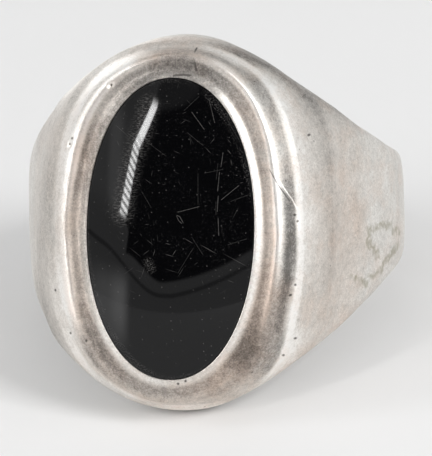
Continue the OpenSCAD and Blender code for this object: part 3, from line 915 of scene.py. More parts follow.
silver_mat, tree, shader = new_material("worn sterling silver")
place = add_node(tree, "Attribute", attribute_name="ring_place").outputs["Vector"]
front = add_node(tree, "VectorMath", {0: place, 1: FACING_FRONT.tolist()}, operation="MULTIPLY").outputs[0]
side = add_node(tree, "VectorMath", {0: place, 1: FACING_RIGHT.tolist()}, operation="MULTIPLY").outputs[0]
worn_and_shaded = add_node(tree, "Attribute", attribute_name="wear_and_shade").outputs["Fac"]
flat = add_node(tree, "SeparateXYZ", {"Vector": place}).outputs
flat_place = add_node(tree, "CombineXYZ", {"X": flat["X"], "Y": flat["Z"]}).outputs[0]
patterns = {}
for name, (scale, detail, roughness, amount) in PATTERNS.items():
    inputs = {"Vector": place, "Scale": scale, "Detail": detail, "Roughness": roughness}
    patterns[name] = add_node(tree, "TexNoise", inputs).outputs["Fac"]
grain = patterns["grain"]
pores = add_node(tree, "TexVoronoi", {"Vector": place, "Scale": PORES_PER_MM}).outputs
pore_luck = add_node(tree, "SeparateXYZ", {"Vector": pores["Color"]}).outputs
pore = add_node(tree, "MapRange", {"Value": pores["Distance"], "From Min": PORE_OUT,
                                   "From Max": PORE_IN}).outputs["Result"]
some = add_node(tree, "Math", {0: pore_luck["X"], 1: PORE_SHARE}, operation="LESS_THAN").outputs[0]
pore = overlap(tree, [pore, some])
open_marks = strongest(tree, [drawn_lines(tree, front, FACING_FRONT, SEAM, SEAM_HALF),
                              drawn_lines(tree, front, FACING_FRONT, PITS, PIT_HALF)])
# the dent, the pits and the line beside the scratch are darkened as painted shade
dark_marks = strongest(tree, [open_marks, drawn_lines(tree, front, FACING_FRONT, DENT, DENT_HALF),
                              drawn_lines(tree, front, FACING_FRONT, SCRATCH_SHADE, SHADE_HALF)])
scratch = drawn_lines(tree, front, FACING_FRONT, LONG_SCRATCH, SCRATCH_HALF)
print("silver:", len(KNOCKS), "pits and", len(PATTERNS), "patterns in the wear")

# %% [markdown]
# Every mark on the silver only changes how bright it is: a pore holds dirt and a fresh
# scratch is bare metal, while the dent, the pits and the line beside the scratch are painted
# shade, the pits with some dirt as well. They could each be mixed in as a colour, but then
# each would need its own grey. So all are added to the wear, and the ramp gives the colours
# at the end.

# %% Worn sterling silver: its wear
# what each mark adds to the wear
PORE_DARK, MARK_DARK, SCRATCH_BRIGHT = -0.9, -1.6, 1.6
# the finer patterns swing more on dirty silver than on rubbed silver: so many times as much,
# growing between these two wears
DIRTY_SWING, DIRTY_WEARS = 1.5, (0.2, -1.0)
dirty = add_node(tree, "MapRange", {"Value": worn_and_shaded, "From Min": DIRTY_WEARS[0], "From Max": DIRTY_WEARS[1],
                                    "To Min": 1.0, "To Max": DIRTY_SWING}).outputs["Result"]
changes = []
for name, pattern in patterns.items():
    swing = add_node(tree, "Math", {0: pattern, 1: 0.5}, operation="SUBTRACT").outputs[0]
    changes.append((swing if name == "clouds" else overlap(tree, [swing, dirty]), PATTERNS[name][-1]))
changes += [(strewn_layer(tree, flat_place, sizes), amount) for *sizes, amount in STREWN_ON_SILVER]
changes += [(pore, PORE_DARK), (dark_marks, MARK_DARK), (scratch, SCRATCH_BRIGHT)]
for mask, amount in changes:
    worn_and_shaded = add_node(tree, "Math", {0: mask, 1: amount, 2: worn_and_shaded}, operation="MULTIPLY_ADD").outputs[0]
level = add_node(tree, "MapRange", {"Value": worn_and_shaded, "From Min": -1, "From Max": 1}).outputs["Result"]
ramp = add_node(tree, "ValToRGB", {"Fac": level})
while len(ramp.color_ramp.elements) < len(SILVER_RAMP):
    ramp.color_ramp.elements.new(0.5)
for element, (at, text) in zip(ramp.color_ramp.elements, SILVER_RAMP):
    element.position = (at + 1) / 2
    element.color = hex_colour(text)
print("silver:", len(changes), "changes to the wear,", len(SILVER_RAMP), "colours in its ramp")

# %% [markdown]
# Silver that lies in a drawer gets a warm film, and dirt stays in its open seam; the pits
# get the same dark colour, as painted shade with some dirt. Neither film nor dark is metal,
# so these two and the stain are mixed in as colours after the ramp. The film also blunts the
# gloss and makes the surface a little less metallic than bare silver would be.

# %% Worn sterling silver: its film, stain and gloss
# the film's colour, its strength on the faces at most, what is left of it toward the left, and
# the strength of the brown film in the table
BLUSH, BLUSH_MOST, BLUSH_LEFT, BROWN_MOST = "F7E7DD", 0.34, 0.3, 0.75
STAIN_COLOUR, STAIN_DEEP, STAIN_DRIFT = "8A8262", 1.05, 1.4
# a dark colour for the open marks: dirt in the seam, painted shade and dirt in the pits
DIRT_AND_SHADE_COLOUR, DIRT_AND_SHADE_DEEP = "4A4642", 0.6
# film blunts silver a little: roughness where it is grey and where it is rubbed bright
DULL, BRIGHT, METALLIC = 0.5, 0.42, 0.9
# the film's patches and the stain's drift to a millimetre, and the height of the grain in m
FILM_PER_MM, DRIFT_PER_MM, GRAIN_DEEP = 0.55, 1.6, 0.00003
# readings of the patches, and places in mm from left to right, between which the film grows
PATCHES_FROM, PATCHES_TO, LEFT_END, RIGHT_START = 0.45, 0.65, -7.5, -1.0
blush = add_node(tree, "TexNoise", {"Vector": place, "Scale": FILM_PER_MM, "Detail": 4,
                                    "Roughness": 0.65}).outputs["Fac"]
blush = add_node(tree, "MapRange", {"Value": blush, "From Min": PATCHES_FROM, "From Max": PATCHES_TO,
                                    "To Max": BLUSH_MOST}).outputs["Result"]
to_right = add_node(tree, "MapRange", {"Value": flat["X"], "From Min": LEFT_END, "From Max": RIGHT_START,
                                       "To Min": BLUSH_LEFT}).outputs["Result"]
brown_film = add_node(tree, "Attribute", attribute_name="brown").outputs["Fac"]
blush = add_node(tree, "Math", {0: brown_film, 1: BROWN_MOST, 2: overlap(tree, [blush, to_right])},
                 operation="MULTIPLY_ADD", use_clamp=True).outputs[0]
colour = add_node(tree, "Mix", {"Factor": blush, "A": ramp.outputs["Color"], "B": hex_colour(BLUSH)},
                  data_type="RGBA", blend_type="MULTIPLY").outputs["Result"]
# the stain runs along its line, pushed about by noise so that its edge is never straight
drift = add_node(tree, "TexNoise", {"Vector": place, "Scale": DRIFT_PER_MM, "Detail": 3}).outputs["Color"]
drift = add_node(tree, "VectorMath", {0: drift, 1: [0.5] * 3}, operation="SUBTRACT").outputs[0]
drift = add_node(tree, "VectorMath", {0: drift, 1: [STAIN_DRIFT] * 3, 2: side},
                 operation="MULTIPLY_ADD").outputs[0]
stain = overlap(tree, [drawn_lines(tree, drift, FACING_RIGHT, STAIN, STAIN_HALF), grain, STAIN_DEEP])
# painted shade and dirt in the pits, dirt in the seam
dirt_and_shade = overlap(tree, [open_marks, DIRT_AND_SHADE_DEEP])
for mask, text in ((stain, STAIN_COLOUR), (dirt_and_shade, DIRT_AND_SHADE_COLOUR)):
    colour = add_node(tree, "Mix", {"Factor": mask, "A": colour, "B": hex_colour(text)},
                      data_type="RGBA").outputs["Result"]
tree.links.new(colour, shader.inputs["Base Color"])
gloss = add_node(tree, "MapRange", {"Value": level, "From Min": 0.5, "To Min": DULL,
                                    "To Max": BRIGHT}).outputs["Result"]
tree.links.new(gloss, shader.inputs["Roughness"])
shader.inputs["Metallic"].default_value = METALLIC
relief = add_node(tree, "Bump", {"Height": grain, "Strength": 0.6,
                                 "Distance": GRAIN_DEEP}).outputs["Normal"]
tree.links.new(relief, shader.inputs["Normal"])
silver_ring.data.materials.append(silver_mat)
print(silver_mat.name, "has", len(tree.nodes), "nodes")

# %% [markdown]
# Onyx is a dyed chalcedony, polished to a mirror, so it shows the studio and little of its
# own. Years of wear have left scratches that catch light from the side and look grey. A
# rougher stone would look grey all over; grey lines on a polished one keep it black.

# %% Polished black onyx: its marks
# x, y and z in mm on the ring; y doesn't count, as the stone is looked at from the front
DEEP_SCRATCHES = [
    [(3.34, 0, 4.51), (3.22, 0, 3.70)],
    [(3.14, 0, 3.40), (3.02, 0, 2.30)],
    [(3.05, 0, 2.00), (2.98, 0, 1.10)],
    [(3.02, 0, 0.70), (3.03, 0, -0.30)],
    [(3.23, 0, 1.78), (4.22, 0, 2.57)],
    [(1.52, 0, 6.92), (2.26, 0, 5.90)],
    [(2.51, 0, 7.62), (2.85, 0, 6.29)],
    [(0.68, 0, 1.11), (1.94, 0, 1.41)],
    [(0.62, 0, 0.92), (0.80, 0, 0.85), (1.00, 0, 0.46)],
    [(0.62, 0, 0.85), (0.72, 0, 0.62), (0.90, 0, 0.44)],
]
FAINT_SCRATCHES = [
    [(3.05, 0, 3.90), (2.95, 0, 3.00)],
    [(2.92, 0, 1.70), (2.90, 0, 0.90)],
    [(1.06, 0, 7.02), (1.92, 0, 7.82)],
    [(0.57, 0, -2.49), (1.54, 0, -1.02)],
    [(1.47, 0, -0.38), (2.08, 0, -1.41)],
    [(-1.47, 0, 2.32), (-0.91, 0, 1.40)],
    [(1.90, 0, 3.37), (1.88, 0, 1.54)],
    [(-3.10, 0, 6.20), (-2.15, 0, 5.42)],
    [(-1.27, 0, 5.32), (0.01, 0, 4.40)],
    [(2.27, 0, 3.36), (3.34, 0, 3.55)],
    [(3.05, 0, 7.33), (4.31, 0, 5.12)],
    [(3.76, 0, 1.67), (4.73, 0, 2.00)],
    [(3.53, 0, -0.89), (4.59, 0, -0.57)],
    [(1.26, 0, 5.75), (2.21, 0, 4.96)],
]
CLOUDY_SPOT = [[(-1.18, 0, -1.85), (-1.05, 0, -2.2)]]
# the line along which fine scratches are greyed as painted light, where the slit's reflection falls
SLIT_GLINT_LINE = [[(-1.1, 0, 7.3), (-1.5, 0, 5.8), (-2.15, 0, 3.9), (-2.75, 0, 1.0)]]
FLAT = np.array([1, 0, 1])
# half widths in mm of the two kinds of scratch, of the cloudy spot and of the painted haze of glints
DEEP_HALF, FAINT_HALF, CLOUD_HALF, GLINT_HAZE_HALF = 0.032, 0.026, 0.45, 1.0
# cells per mm, half length and half width in mm, share of the cells that hold one, strength
STREWN_ON_STONE = [
    (0.55, 0.95, 0.020, 0.70, 0.40),
    (0.9, 0.60, 0.020, 0.75, 0.55),
    (1.7, 0.34, 0.018, 0.65, 0.60),
]
# how grey each kind of mark is, from 0 to 1
DEEP_STRONG, FAINT_STRONG, CLOUD_STRONG, CHIP_STRONG = 0.52, 0.22, 0.6, 0.5
# patterns to a millimetre; the hairs of the haze are longer one way and lean, in radians
CHIPS_PER_MM, SPECKS_PER_MM, PATCHES_PER_MM = 2.2, 11, 0.45
HAIRS_PER_MM, HAIR_LEAN = (4, 13, 1), 0.5

onyx_mat, tree, shader = new_material("polished black onyx")
place = add_node(tree, "Attribute", attribute_name="ring_place").outputs["Vector"]
over = add_node(tree, "VectorMath", {0: place, 1: FLAT.tolist()}, operation="MULTIPLY").outputs[0]
part = add_node(tree, "SeparateXYZ", {"Vector": place}).outputs
flat_place = add_node(tree, "CombineXYZ", {"X": part["X"], "Y": part["Z"]}).outputs[0]
specks = add_node(tree, "TexNoise", {"Vector": flat_place, "Scale": SPECKS_PER_MM, "Detail": 3,
                                     "Roughness": 0.8}).outputs["Fac"]
patches = add_node(tree, "TexNoise", {"Vector": flat_place, "Scale": PATCHES_PER_MM,
                                      "Detail": 3}).outputs["Fac"]
chips = add_node(tree, "TexVoronoi", {"Vector": flat_place, "Scale": CHIPS_PER_MM},
                 voronoi_dimensions="2D").outputs
chip_luck = add_node(tree, "SeparateXYZ", {"Vector": chips["Color"]}).outputs
hairs = add_node(tree, "Mapping", {"Vector": flat_place, "Rotation": (0, 0, HAIR_LEAN),
                                   "Scale": HAIRS_PER_MM}).outputs[0]
hairs = add_node(tree, "TexNoise", {"Vector": hairs, "Scale": 1.0, "Detail": 3,
                                    "Roughness": 0.7}).outputs["Fac"]
to_rim = add_node(tree, "VectorMath", {0: over, 1: (2 / STONE_W, 0, 2 / STONE_L)},
                  operation="MULTIPLY").outputs[0]
to_rim = add_node(tree, "VectorMath", {0: to_rim}, operation="LENGTH").outputs["Value"]
print("onyx:", len(DEEP_SCRATCHES) + len(FAINT_SCRATCHES), "scratches are drawn")

# %% [markdown]
# A stone that is worn daily isn't scratched evenly: its lower part and its left side are
# clean, and its rim is chipped. Along the slit's reflection a haze of grey scratches is
# painted, as painted light where that light rakes over them. One even layer of scratches
# would look like dust. So each layer is held back by masks, and the table says what every
# mask reads and between which readings it changes.

# %% Polished black onyx: its scratches and chips
ONYX, SCRATCHED_ONYX = "040405", "6A6866"
# chalcedony has an IOR of 1.54; worn as it is, this stone mirrors a little less
ONYX_IOR, ONYX_POLISH = 1.38, 0.04
# what each mask reads, the two readings between which it changes, and what it is at each
READINGS = {
    "specks": (specks, 0.6, 0.85, 0.0, 0.6),
    "patchy": (patches, 0.38, 0.6, 0.15, 1.0),
    "upper part": (part["Z"], -4.2, -1.6, 0.12, 1.0),
    "inner part": (part["X"], -3.6, -2.0, 0.25, 1.0),
    "closer on the right": (part["X"], 1.5, 4.5, 1.0, 1.5),
    "hairs": (hairs, 0.48, 0.72, 0.0, 0.9),
    "rim": (to_rim, 0.968, 0.99, 0.0, 1.0),
    "chipped rim": (specks, 0.5, 0.7, 0.0, 1.0),
    "flecks": (specks, 0.5, 0.62, 0.0, 1.0),
    "chip": (chips["Distance"], 0.09, 0.03, 0.0, 1.0),
    "chip in a cell": (chip_luck["X"], 0.35, 0.0, 0.0, 1.0),
    "skips": (specks, 0.42, 0.56, 0.3, 1.0),
}
masks = {}
for name, (reading, start, end, low, high) in READINGS.items():
    masks[name] = add_node(tree, "MapRange", {"Value": reading, "From Min": start, "From Max": end,
                                              "To Min": low, "To Max": high}).outputs["Result"]
layers = [overlap(tree, [strewn_layer(tree, flat_place, sizes), strength])
          for *sizes, strength in STREWN_ON_STONE]
strewn = strongest(tree, layers + [masks["specks"]])
wear_parts = [masks[name] for name in ("patchy", "upper part", "inner part", "closer on the right")]
marks = [overlap(tree, [strewn] + wear_parts)]
# painted light: a haze of grey scratches along the line of the slit's reflection, and one cloudy spot
marks.append(overlap(tree, [drawn_lines(tree, over, FLAT, SLIT_GLINT_LINE, GLINT_HAZE_HALF), masks["hairs"]]))
cloud = drawn_lines(tree, over, FLAT, CLOUDY_SPOT, CLOUD_HALF)
marks.append(overlap(tree, [cloud, masks["flecks"], CLOUD_STRONG]))
# a cut scratch is broken where the point that cut it skipped
for lines, half, strength in ((DEEP_SCRATCHES, DEEP_HALF, DEEP_STRONG),
                              (FAINT_SCRATCHES, FAINT_HALF, FAINT_STRONG)):
    marks.append(overlap(tree, [drawn_lines(tree, over, FLAT, lines, half), masks["skips"], strength]))
# small chips, as likely anywhere on the stone, and a chipped rim
marks.append(overlap(tree, [masks["chip"], masks["chip in a cell"], CHIP_STRONG]))
marks.append(overlap(tree, [masks["rim"], masks["chipped rim"], masks["patchy"], CHIP_STRONG]))
colour = add_node(tree, "Mix", {"Factor": strongest(tree, marks), "A": hex_colour(ONYX),
                                "B": hex_colour(SCRATCHED_ONYX)}, data_type="RGBA").outputs["Result"]
tree.links.new(colour, shader.inputs["Base Color"])
shader.inputs["Roughness"].default_value = ONYX_POLISH
shader.inputs["IOR"].default_value = ONYX_IOR
onyx_stone.data.materials.append(onyx_mat)
print(onyx_mat.name, "has", len(tree.nodes), "nodes")

# %% [markdown]
# The ring lies on matt white paper. It could be a sheet with a curve behind, but the camera
# looks down on it, so a plane is enough. Paper scatters nearly all of the light that reaches
# it and shines very little, so to the eye it is one even white with pale, soft shadows.

# %% Matt white paper
FLOOR_SIZE = 0.5
PAPER_COLOUR, PAPER_ROUGH, PAPER_SHINE = "E0E0E0", 0.9, 0.1
bpy.ops.mesh.primitive_plane_add(size=FLOOR_SIZE)
floor = bpy.context.object
floor.name = "floor"
paper_mat, tree, shader = new_material("matt white paper")
shader.inputs["Base Color"].default_value = hex_colour(PAPER_COLOUR)
shader.inputs["Roughness"].default_value = PAPER_ROUGH
shader.inputs["Specular IOR Level"].default_value = PAPER_SHINE
floor.data.materials.append(paper_mat)
print("paper", FLOOR_SIZE, "m wide")

# %% [markdown]
# A polished black stone shows the studio: a pale room, the dark gap in front of the ring
# where the camera stands, a thin bright slit beside it and the edge of the table. All that
# could be built of planes round the ring, but only the directions matter, so the world is
# worked out from them: how far a direction turns from the front to the right, and how far it
# rises, both in degrees.

# %% Studio by direction
# how bright each part is; the glows are added to it; and matt things see the last row
# instead, front and back, and the camera its last value
ROOM, GAP, SLIT, PAPER_LEVEL, EDGE_LEVEL = 0.62, 0.015, 27.0, 0.64, 0.28
GLOW, WIDE_GLOW, BEHIND_GLOW = 0.5, 0.4, 3.0
FRONT, BEHIND, SEEN = 0.95, 0.35, 0.8
world = bpy.data.worlds.new("studio")
bpy.context.scene.world = world
world.use_nodes = True
tree = world.node_tree
direction = add_node(tree, "TexCoord").outputs["Generated"]
part = add_node(tree, "SeparateXYZ", {"Vector": direction}).outputs
minus_y = add_node(tree, "Math", {0: part["Y"], 1: -1}, operation="MULTIPLY").outputs[0]
turn_rad = add_node(tree, "Math", {0: part["X"], 1: minus_y}, operation="ARCTAN2").outputs[0]
rise_rad = add_node(tree, "Math", {0: part["Z"]}, operation="ARCSINE").outputs[0]
turn = add_node(tree, "Math", {0: turn_rad}, operation="DEGREES").outputs[0]
rise = add_node(tree, "Math", {0: rise_rad}, operation="DEGREES").outputs[0]


def between(tree, reading, edges):
    """1 between the edges and 0 outside; each edge goes softly from 0 at its first number to
    1 at its second."""
    steps = [add_node(tree, "MapRange", {"Value": reading, "From Min": outer, "From Max": inner},
                      interpolation_type="SMOOTHSTEP").outputs["Result"] for outer, inner in edges]
    return overlap(tree, steps)


def table_edge(tree, turn, left, right):
    """How far the table's edge falls off to both sides: steep on the left, even on the right."""
    falls = []
    for (start, end, fall), kind in ((left, "SMOOTHSTEP"), (right, "LINEAR")):
        falls.append(add_node(tree, "MapRange", {"Value": turn, "From Min": start, "From Max": end,
                                                 "To Min": fall, "To Max": 0},
                              interpolation_type=kind).outputs["Result"])
    return add_node(tree, "Math", {0: falls[0], 1: falls[1]}, operation="ADD").outputs[0]


print("studio of", ROOM, "with a slit", round(SLIT / ROOM), "times as bright")

# %% [markdown]
# The slit looks like a strip of window between two screens. In the stone it leans to the
# right as it rises, more so in its upper part, and slanting ribs cross it low down. A lamp
# of that shape would light the silver as well and leave a hard line on it. The left edge of
# the dark gap follows the slit, so both are worked out from one line.

# %% The bright slit
# rise and turn of two points that the slit passes through, and how it bends over above them
SLIT_LOW, SLIT_HIGH = (17, -38.4), (31, -35.8)
BEND_FROM, BEND_TO, BEND = 32.5, 43, 5.8
# its edges, each from where it is dark to where it is bright
SLIT_SIDES, SLIT_ENDS = [(-2.5, -1.6), (2.5, 1.6)], [(16, 18), (45, 42)]
# the ribs: how fast they follow each other up the slit, between which heights of their wave
# they end, how bright they are, and the rises between which they fade out
RIB_PACE, RIB_EDGES, RIB_LEVEL, RIBS_FADE = 3.8, (-0.6, 0.4), 0.15, (30, 36)

lean = add_node(tree, "MapRange", {"Value": rise, "From Min": SLIT_LOW[0], "From Max": SLIT_HIGH[0],
                                   "To Min": SLIT_LOW[1], "To Max": SLIT_HIGH[1]},
                clamp=False).outputs["Result"]
bend = add_node(tree, "MapRange", {"Value": rise, "From Min": BEND_FROM, "From Max": BEND_TO, "To Min": 0,
                                   "To Max": BEND}).outputs["Result"]
lean = add_node(tree, "Math", {0: lean, 1: bend}, operation="ADD").outputs[0]
from_slit = add_node(tree, "Math", {0: turn, 1: lean}, operation="SUBTRACT").outputs[0]
ribs = add_node(tree, "Math", {0: rise, 1: RIB_PACE, 2: from_slit}, operation="MULTIPLY_ADD").outputs[0]
ribs = add_node(tree, "Math", {0: ribs}, operation="SINE").outputs[0]
ribs = add_node(tree, "MapRange", {"Value": ribs, "From Min": RIB_EDGES[0], "From Max": RIB_EDGES[1],
                                   "To Min": RIB_LEVEL}).outputs["Result"]
high = add_node(tree, "MapRange", {"Value": rise, "From Min": RIBS_FADE[0],
                                   "From Max": RIBS_FADE[1]}).outputs["Result"]
on_slit = overlap(tree, [between(tree, from_slit, SLIT_SIDES), between(tree, rise, SLIT_ENDS),
                         strongest(tree, [ribs, high])])
print("slit from rise", SLIT_ENDS[0][0], "to", SLIT_ENDS[1][0], "degrees")

# %% [markdown]
# The dark gap gives the stone its black. Below, it ends where the table's edge shows, with
# a thin dark line under it; at the top it fades a little. Soft glows round the slit and one
# behind on the left stand for light on the room's walls. Each could be a lamp, but they only
# matter as reflections, and the world gives those without any grain.

# %% The dark gap, the table's edge and the glows
# turn where the fall of the table's edge begins and ends, and how far it falls, in degrees
GAP_LEFT, GAP_RIGHT = (-34, -15, 4.4), (34, -14, 3.6)
LINE_LEFT, LINE_RIGHT = (-48, -16, 6.9), (34, -10, 3.8)
# the gap's lower, left and right edges, and how far the left one leaves the slit low down
GAP_FOOT, GAP_BESIDE, GAP_FADES = [(4.6, 5.4)], [(-0.5, 0.5)], [(75, 45)]
FOOT_RISE, FOOT_SHIFT = (14, 17), -4.5
# the paler part at the gap's top: how its edge slants, its rises, its strength and its end
TOP_SLANT, TOP_RISES, TOP_SHADE, TOP_END = -0.16, [(45.5, 47.5)], 0.4, [(7, 2)]
LINE_SIDES = [(1.3, 1.7), (2.7, 2.3)]
# the glows: how they slant, their rises and their turns
GLOW_SLANT, GLOW_RISES = 0.4, [(14, 20), (40, 32)]
NEAR_GLOW_TURNS, WIDE_GLOW_TURNS = [(-43, -38), (-30, -35)], [(-80, -46), (-22, -30)]
BEHIND_TURNS, BEHIND_RISES = [(-172, -156), (-126, -142)], [(-14, -2), (20, 8)]

above = add_node(tree, "Math", {0: rise, 1: table_edge(tree, turn, GAP_LEFT, GAP_RIGHT)},
                 operation="SUBTRACT").outputs[0]
off_line = add_node(tree, "Math", {0: rise, 1: table_edge(tree, turn, LINE_LEFT, LINE_RIGHT)},
                    operation="SUBTRACT").outputs[0]
foot = add_node(tree, "MapRange", {"Value": rise, "From Min": FOOT_RISE[0], "From Max": FOOT_RISE[1],
                                   "To Min": FOOT_SHIFT, "To Max": 0}, interpolation_type="SMOOTHSTEP")
gap_left = add_node(tree, "Math", {0: from_slit, 1: foot.outputs["Result"]}, operation="ADD").outputs[0]
below_top = add_node(tree, "Math", {0: turn, 1: TOP_SLANT, 2: rise}, operation="MULTIPLY_ADD").outputs[0]
pale = overlap(tree, [between(tree, below_top, TOP_RISES), TOP_SHADE, between(tree, turn, TOP_END)])
open_top = add_node(tree, "Math", {0: 1.0, 1: pale}, operation="SUBTRACT").outputs[0]
in_gap = overlap(tree, [between(tree, gap_left, GAP_BESIDE), between(tree, turn, GAP_FADES),
                        between(tree, above, GAP_FOOT), open_top])
on_edge = between(tree, off_line, LINE_SIDES)
glow_at = add_node(tree, "Math", {0: rise, 1: GLOW_SLANT, 2: turn}, operation="MULTIPLY_ADD").outputs[0]
glow_rises = between(tree, rise, GLOW_RISES)
glows = overlap(tree, [between(tree, glow_at, NEAR_GLOW_TURNS), glow_rises])
wide_glow = overlap(tree, [between(tree, glow_at, WIDE_GLOW_TURNS), glow_rises])
behind_glow = overlap(tree, [between(tree, turn, BEHIND_TURNS), between(tree, rise, BEHIND_RISES)])
for mask, amount in ((wide_glow, WIDE_GLOW), (behind_glow, BEHIND_GLOW)):
    glows = add_node(tree, "Math", {0: mask, 1: amount, 2: glows}, operation="MULTIPLY_ADD").outputs[0]
print("gap starts", GAP_FOOT[0][1], "degrees above the table's edge")

# %% [markdown]
# The parts are laid over the room one by one, and the result is the strength of the world's
# light. The silver and the stone see all of it. Matt things would only gain noise from the
# narrow slit, so they see a plain room, and the camera sees an even grey behind the paper.

# %% The studio put together
# the rises between which the room passes from the paper's level to its own
PAPER_END, ROOM_START = 0, 9
level = add_node(tree, "MapRange", {"Value": rise, "From Min": PAPER_END, "From Max": ROOM_START,
                                    "To Min": PAPER_LEVEL, "To Max": ROOM}).outputs["Result"]
for mask, amount in ((in_gap, GAP), (on_edge, EDGE_LEVEL)):
    level = add_node(tree, "Mix", {"Factor": mask, "A": level, "B": amount}).outputs["Result"]
for mask, amount in ((glows, GLOW), (on_slit, SLIT)):
    level = add_node(tree, "Math", {0: mask, 1: amount, 2: level}, operation="MULTIPLY_ADD").outputs[0]
matt = add_node(tree, "MapRange", {"Value": part["Y"], "From Min": -1, "From Max": 1, "To Min": FRONT,
                                   "To Max": BEHIND}).outputs["Result"]
ray = add_node(tree, "LightPath").outputs
for kind, instead in (("Is Diffuse Ray", matt), ("Is Camera Ray", SEEN)):
    level = add_node(tree, "Mix", {"Factor": ray[kind], "A": level, "B": instead}).outputs["Result"]
tree.links.new(level, tree.nodes["Background"].inputs["Strength"])
tree.nodes["Background"].inputs["Color"].default_value = hex_colour("FFFFFF")
print("studio of", len(tree.nodes), "nodes")

# %% [markdown]
# Two softboxes light the silver, a strong one at the right and a weak one at the left. The
# world could do it alone, but lamps give cleaner light for the same time. A point lamp would
# leave hard spots on worn silver; a broad one gives long soft lights that show its form.

# %% Two softboxes
def aim(turn_deg, rise_deg):
    """Unit vector from the ring toward a direction: turn from the front to the right, rise up."""
    t, r = math.radians(turn_deg), math.radians(rise_deg)
    return Vector((math.sin(t) * math.cos(r), -math.cos(t) * math.cos(r), math.sin(r)))


# name, turn, rise, distance, width, height, power in watts
LIGHTS = [
    ("key softbox", 55, 34, 0.6, 0.20, 0.24, 2.2),
    ("fill softbox", -74, 32, 0.6, 0.16, 0.30, 0.55),
]
for name, turn_deg, rise_deg, far, wide, high, watts in LIGHTS:
    data = bpy.data.lights.new(name, "AREA")
    data.shape = "RECTANGLE"
    data.size = wide
    data.size_y = high
    data.energy = watts
    lamp = bpy.data.objects.new(name, data)
    bpy.context.scene.collection.objects.link(lamp)
    toward = aim(turn_deg, rise_deg)
    lamp.location = toward * far
    lamp.rotation_euler = toward.to_track_quat("Z", "Y").to_euler()
print(len(LIGHTS), "softboxes,", sum(row[-1] for row in LIGHTS), "watts in all")

# %% [markdown]
# A small lit white card stands at the left front, and the stone shows it as a soft upright
# glow. It could be one more lamp, but a lamp would brighten the paper too. So it is a plane
# with a glowing see-through material, which fades to its edges and is brightest toward its
# right, and the camera, matt surfaces and shadows don't see it.

# %% Lit white card
# turn in degrees; metres away, aside, up, and wide and high; brightness and its middle's share
CARD_TURN, CARD_FAR, CARD_ASIDE, CARD_UP = -37.5, 0.034, 0.0013, 0.007
CARD_SIZE, CARD_GLOW, CARD_MIDDLE = (0.0146, 0.013, 1), 1.7, 0.45
# edges of the broad glow, of its bright middle and of its height, as shares of the card
BROAD_EDGES, MIDDLE_EDGES = [(0.0, 0.5), (1.0, 0.76)], [(0.5, 0.76), (0.97, 0.80)]
HEIGHT_EDGES = [(-0.1, 0.5), (1.0, 0.65)]
bpy.ops.mesh.primitive_plane_add(size=1)
card = bpy.context.object
card.name = "card"
card.scale = CARD_SIZE
toward = aim(CARD_TURN, 0)
card.location = toward * CARD_FAR + aim(CARD_TURN + 90, 0) * CARD_ASIDE + Vector((0, 0, CARD_UP))
card.rotation_euler = toward.to_track_quat("Z", "Y").to_euler()
card.visible_camera = card.visible_diffuse = card.visible_shadow = False
card_mat = bpy.data.materials.new("lit white card")
card_mat.use_nodes = True
tree = card_mat.node_tree
tree.nodes.clear()
place = add_node(tree, "SeparateXYZ", {"Vector": add_node(tree, "TexCoord").outputs["UV"]}).outputs
broad, middle = (between(tree, place["X"], edges) for edges in (BROAD_EDGES, MIDDLE_EDGES))
bright = add_node(tree, "Mix", {"Factor": CARD_MIDDLE, "A": broad, "B": middle}).outputs["Result"]
bright = overlap(tree, [bright, between(tree, place["Y"], HEIGHT_EDGES), CARD_GLOW])
clear = add_node(tree, "BsdfTransparent").outputs[0]
glowing = add_node(tree, "Emission", {"Strength": bright}).outputs[0]
both = add_node(tree, "AddShader", {0: clear, 1: glowing}).outputs[0]
add_node(tree, "OutputMaterial", {"Surface": both})
card.data.materials.append(card_mat)
print("card", CARD_SIZE[0], "x", CARD_SIZE[1], "m,", CARD_FAR, "m from the ring")

# %% [markdown]
# The camera stands far off with a long lens, as one does for jewellery, so that the ovals
# keep their shape. It could be moved by eye, but here its turn, rise and roll are measured
# from the head's own axes, and the ring's middle is put on its pixel of the picture.

# %% Camera
bpy.context.scene.view_settings.view_transform = "Standard"
CAMERA_TURN, CAMERA_RISE, CAMERA_ROLL = (math.radians(a) for a in (11.19, 4.53, 1.51))
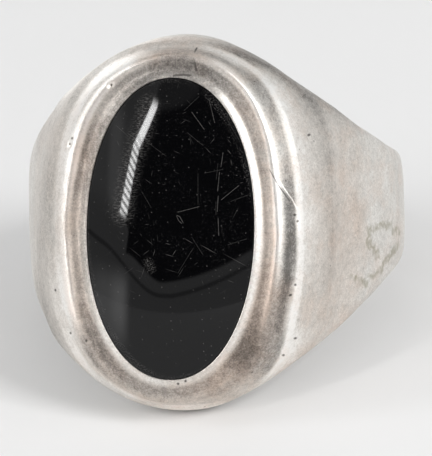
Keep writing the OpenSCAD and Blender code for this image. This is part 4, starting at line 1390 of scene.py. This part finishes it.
# in pixels: where the middle of the finger hole falls, the picture's size, and pixels to a mm
MIDDLE_X, MIDDLE_Y = 217.35, 210.3
FRAME_W, FRAME_H = 432, 456
SCALE = 16.18
# in mm: the camera's distance and its sensor
DIST, SENSOR = 300.0, 24
# in m: what the camera sees at the nearest and the farthest
NEAREST, FARTHEST = 0.01, 20

# the head's own axes, then the camera's
across = np.array([1.0, 0, 0])
normal = np.array([0, -math.cos(LEAN), math.sin(LEAN)])
along = np.array([0, math.sin(LEAN), math.cos(LEAN)])
toward = across * math.sin(CAMERA_TURN) + normal * math.cos(CAMERA_TURN)
back = toward * math.cos(CAMERA_RISE) + along * math.sin(CAMERA_RISE)
level_right = across * math.cos(CAMERA_TURN) - normal * math.sin(CAMERA_TURN)
level_up = along * math.cos(CAMERA_RISE) - toward * math.sin(CAMERA_RISE)
right = level_right * math.cos(CAMERA_ROLL) - level_up * math.sin(CAMERA_ROLL)
up = level_right * math.sin(CAMERA_ROLL) + level_up * math.cos(CAMERA_ROLL)
shift = up * (MIDDLE_Y - FRAME_H / 2) / SCALE - right * (MIDDLE_X - FRAME_W / 2) / SCALE
place = CENTRE + (back * DIST + shift) * MM

camera_data = bpy.data.cameras.new("camera")
camera_data.sensor_fit = "VERTICAL"
camera_data.sensor_height = SENSOR
camera_data.lens = SCALE * DIST / FRAME_H * SENSOR
camera_data.clip_start = NEAREST
camera_data.clip_end = FARTHEST
camera = bpy.data.objects.new("camera", camera_data)
bpy.context.scene.collection.objects.link(camera)
camera.matrix_world = Matrix([[right[i], up[i], back[i], place[i]] for i in range(3)] + [[0, 0, 0, 1]])
bpy.context.scene.camera = camera
print("camera", DIST, "mm away, with a lens of", round(camera_data.lens), "mm")

# %% [markdown]
# Last, each piece is tied to the frame: it rides on the one body of a ring and takes the
# place of the solid that it was made from, which is hidden.

# %% Fit to the frame
for piece, node, slot in ((silver_ring, "ring_body", "silver"), (onyx_stone, "stone", "onyx")):
    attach(piece, "root")
    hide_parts(node)
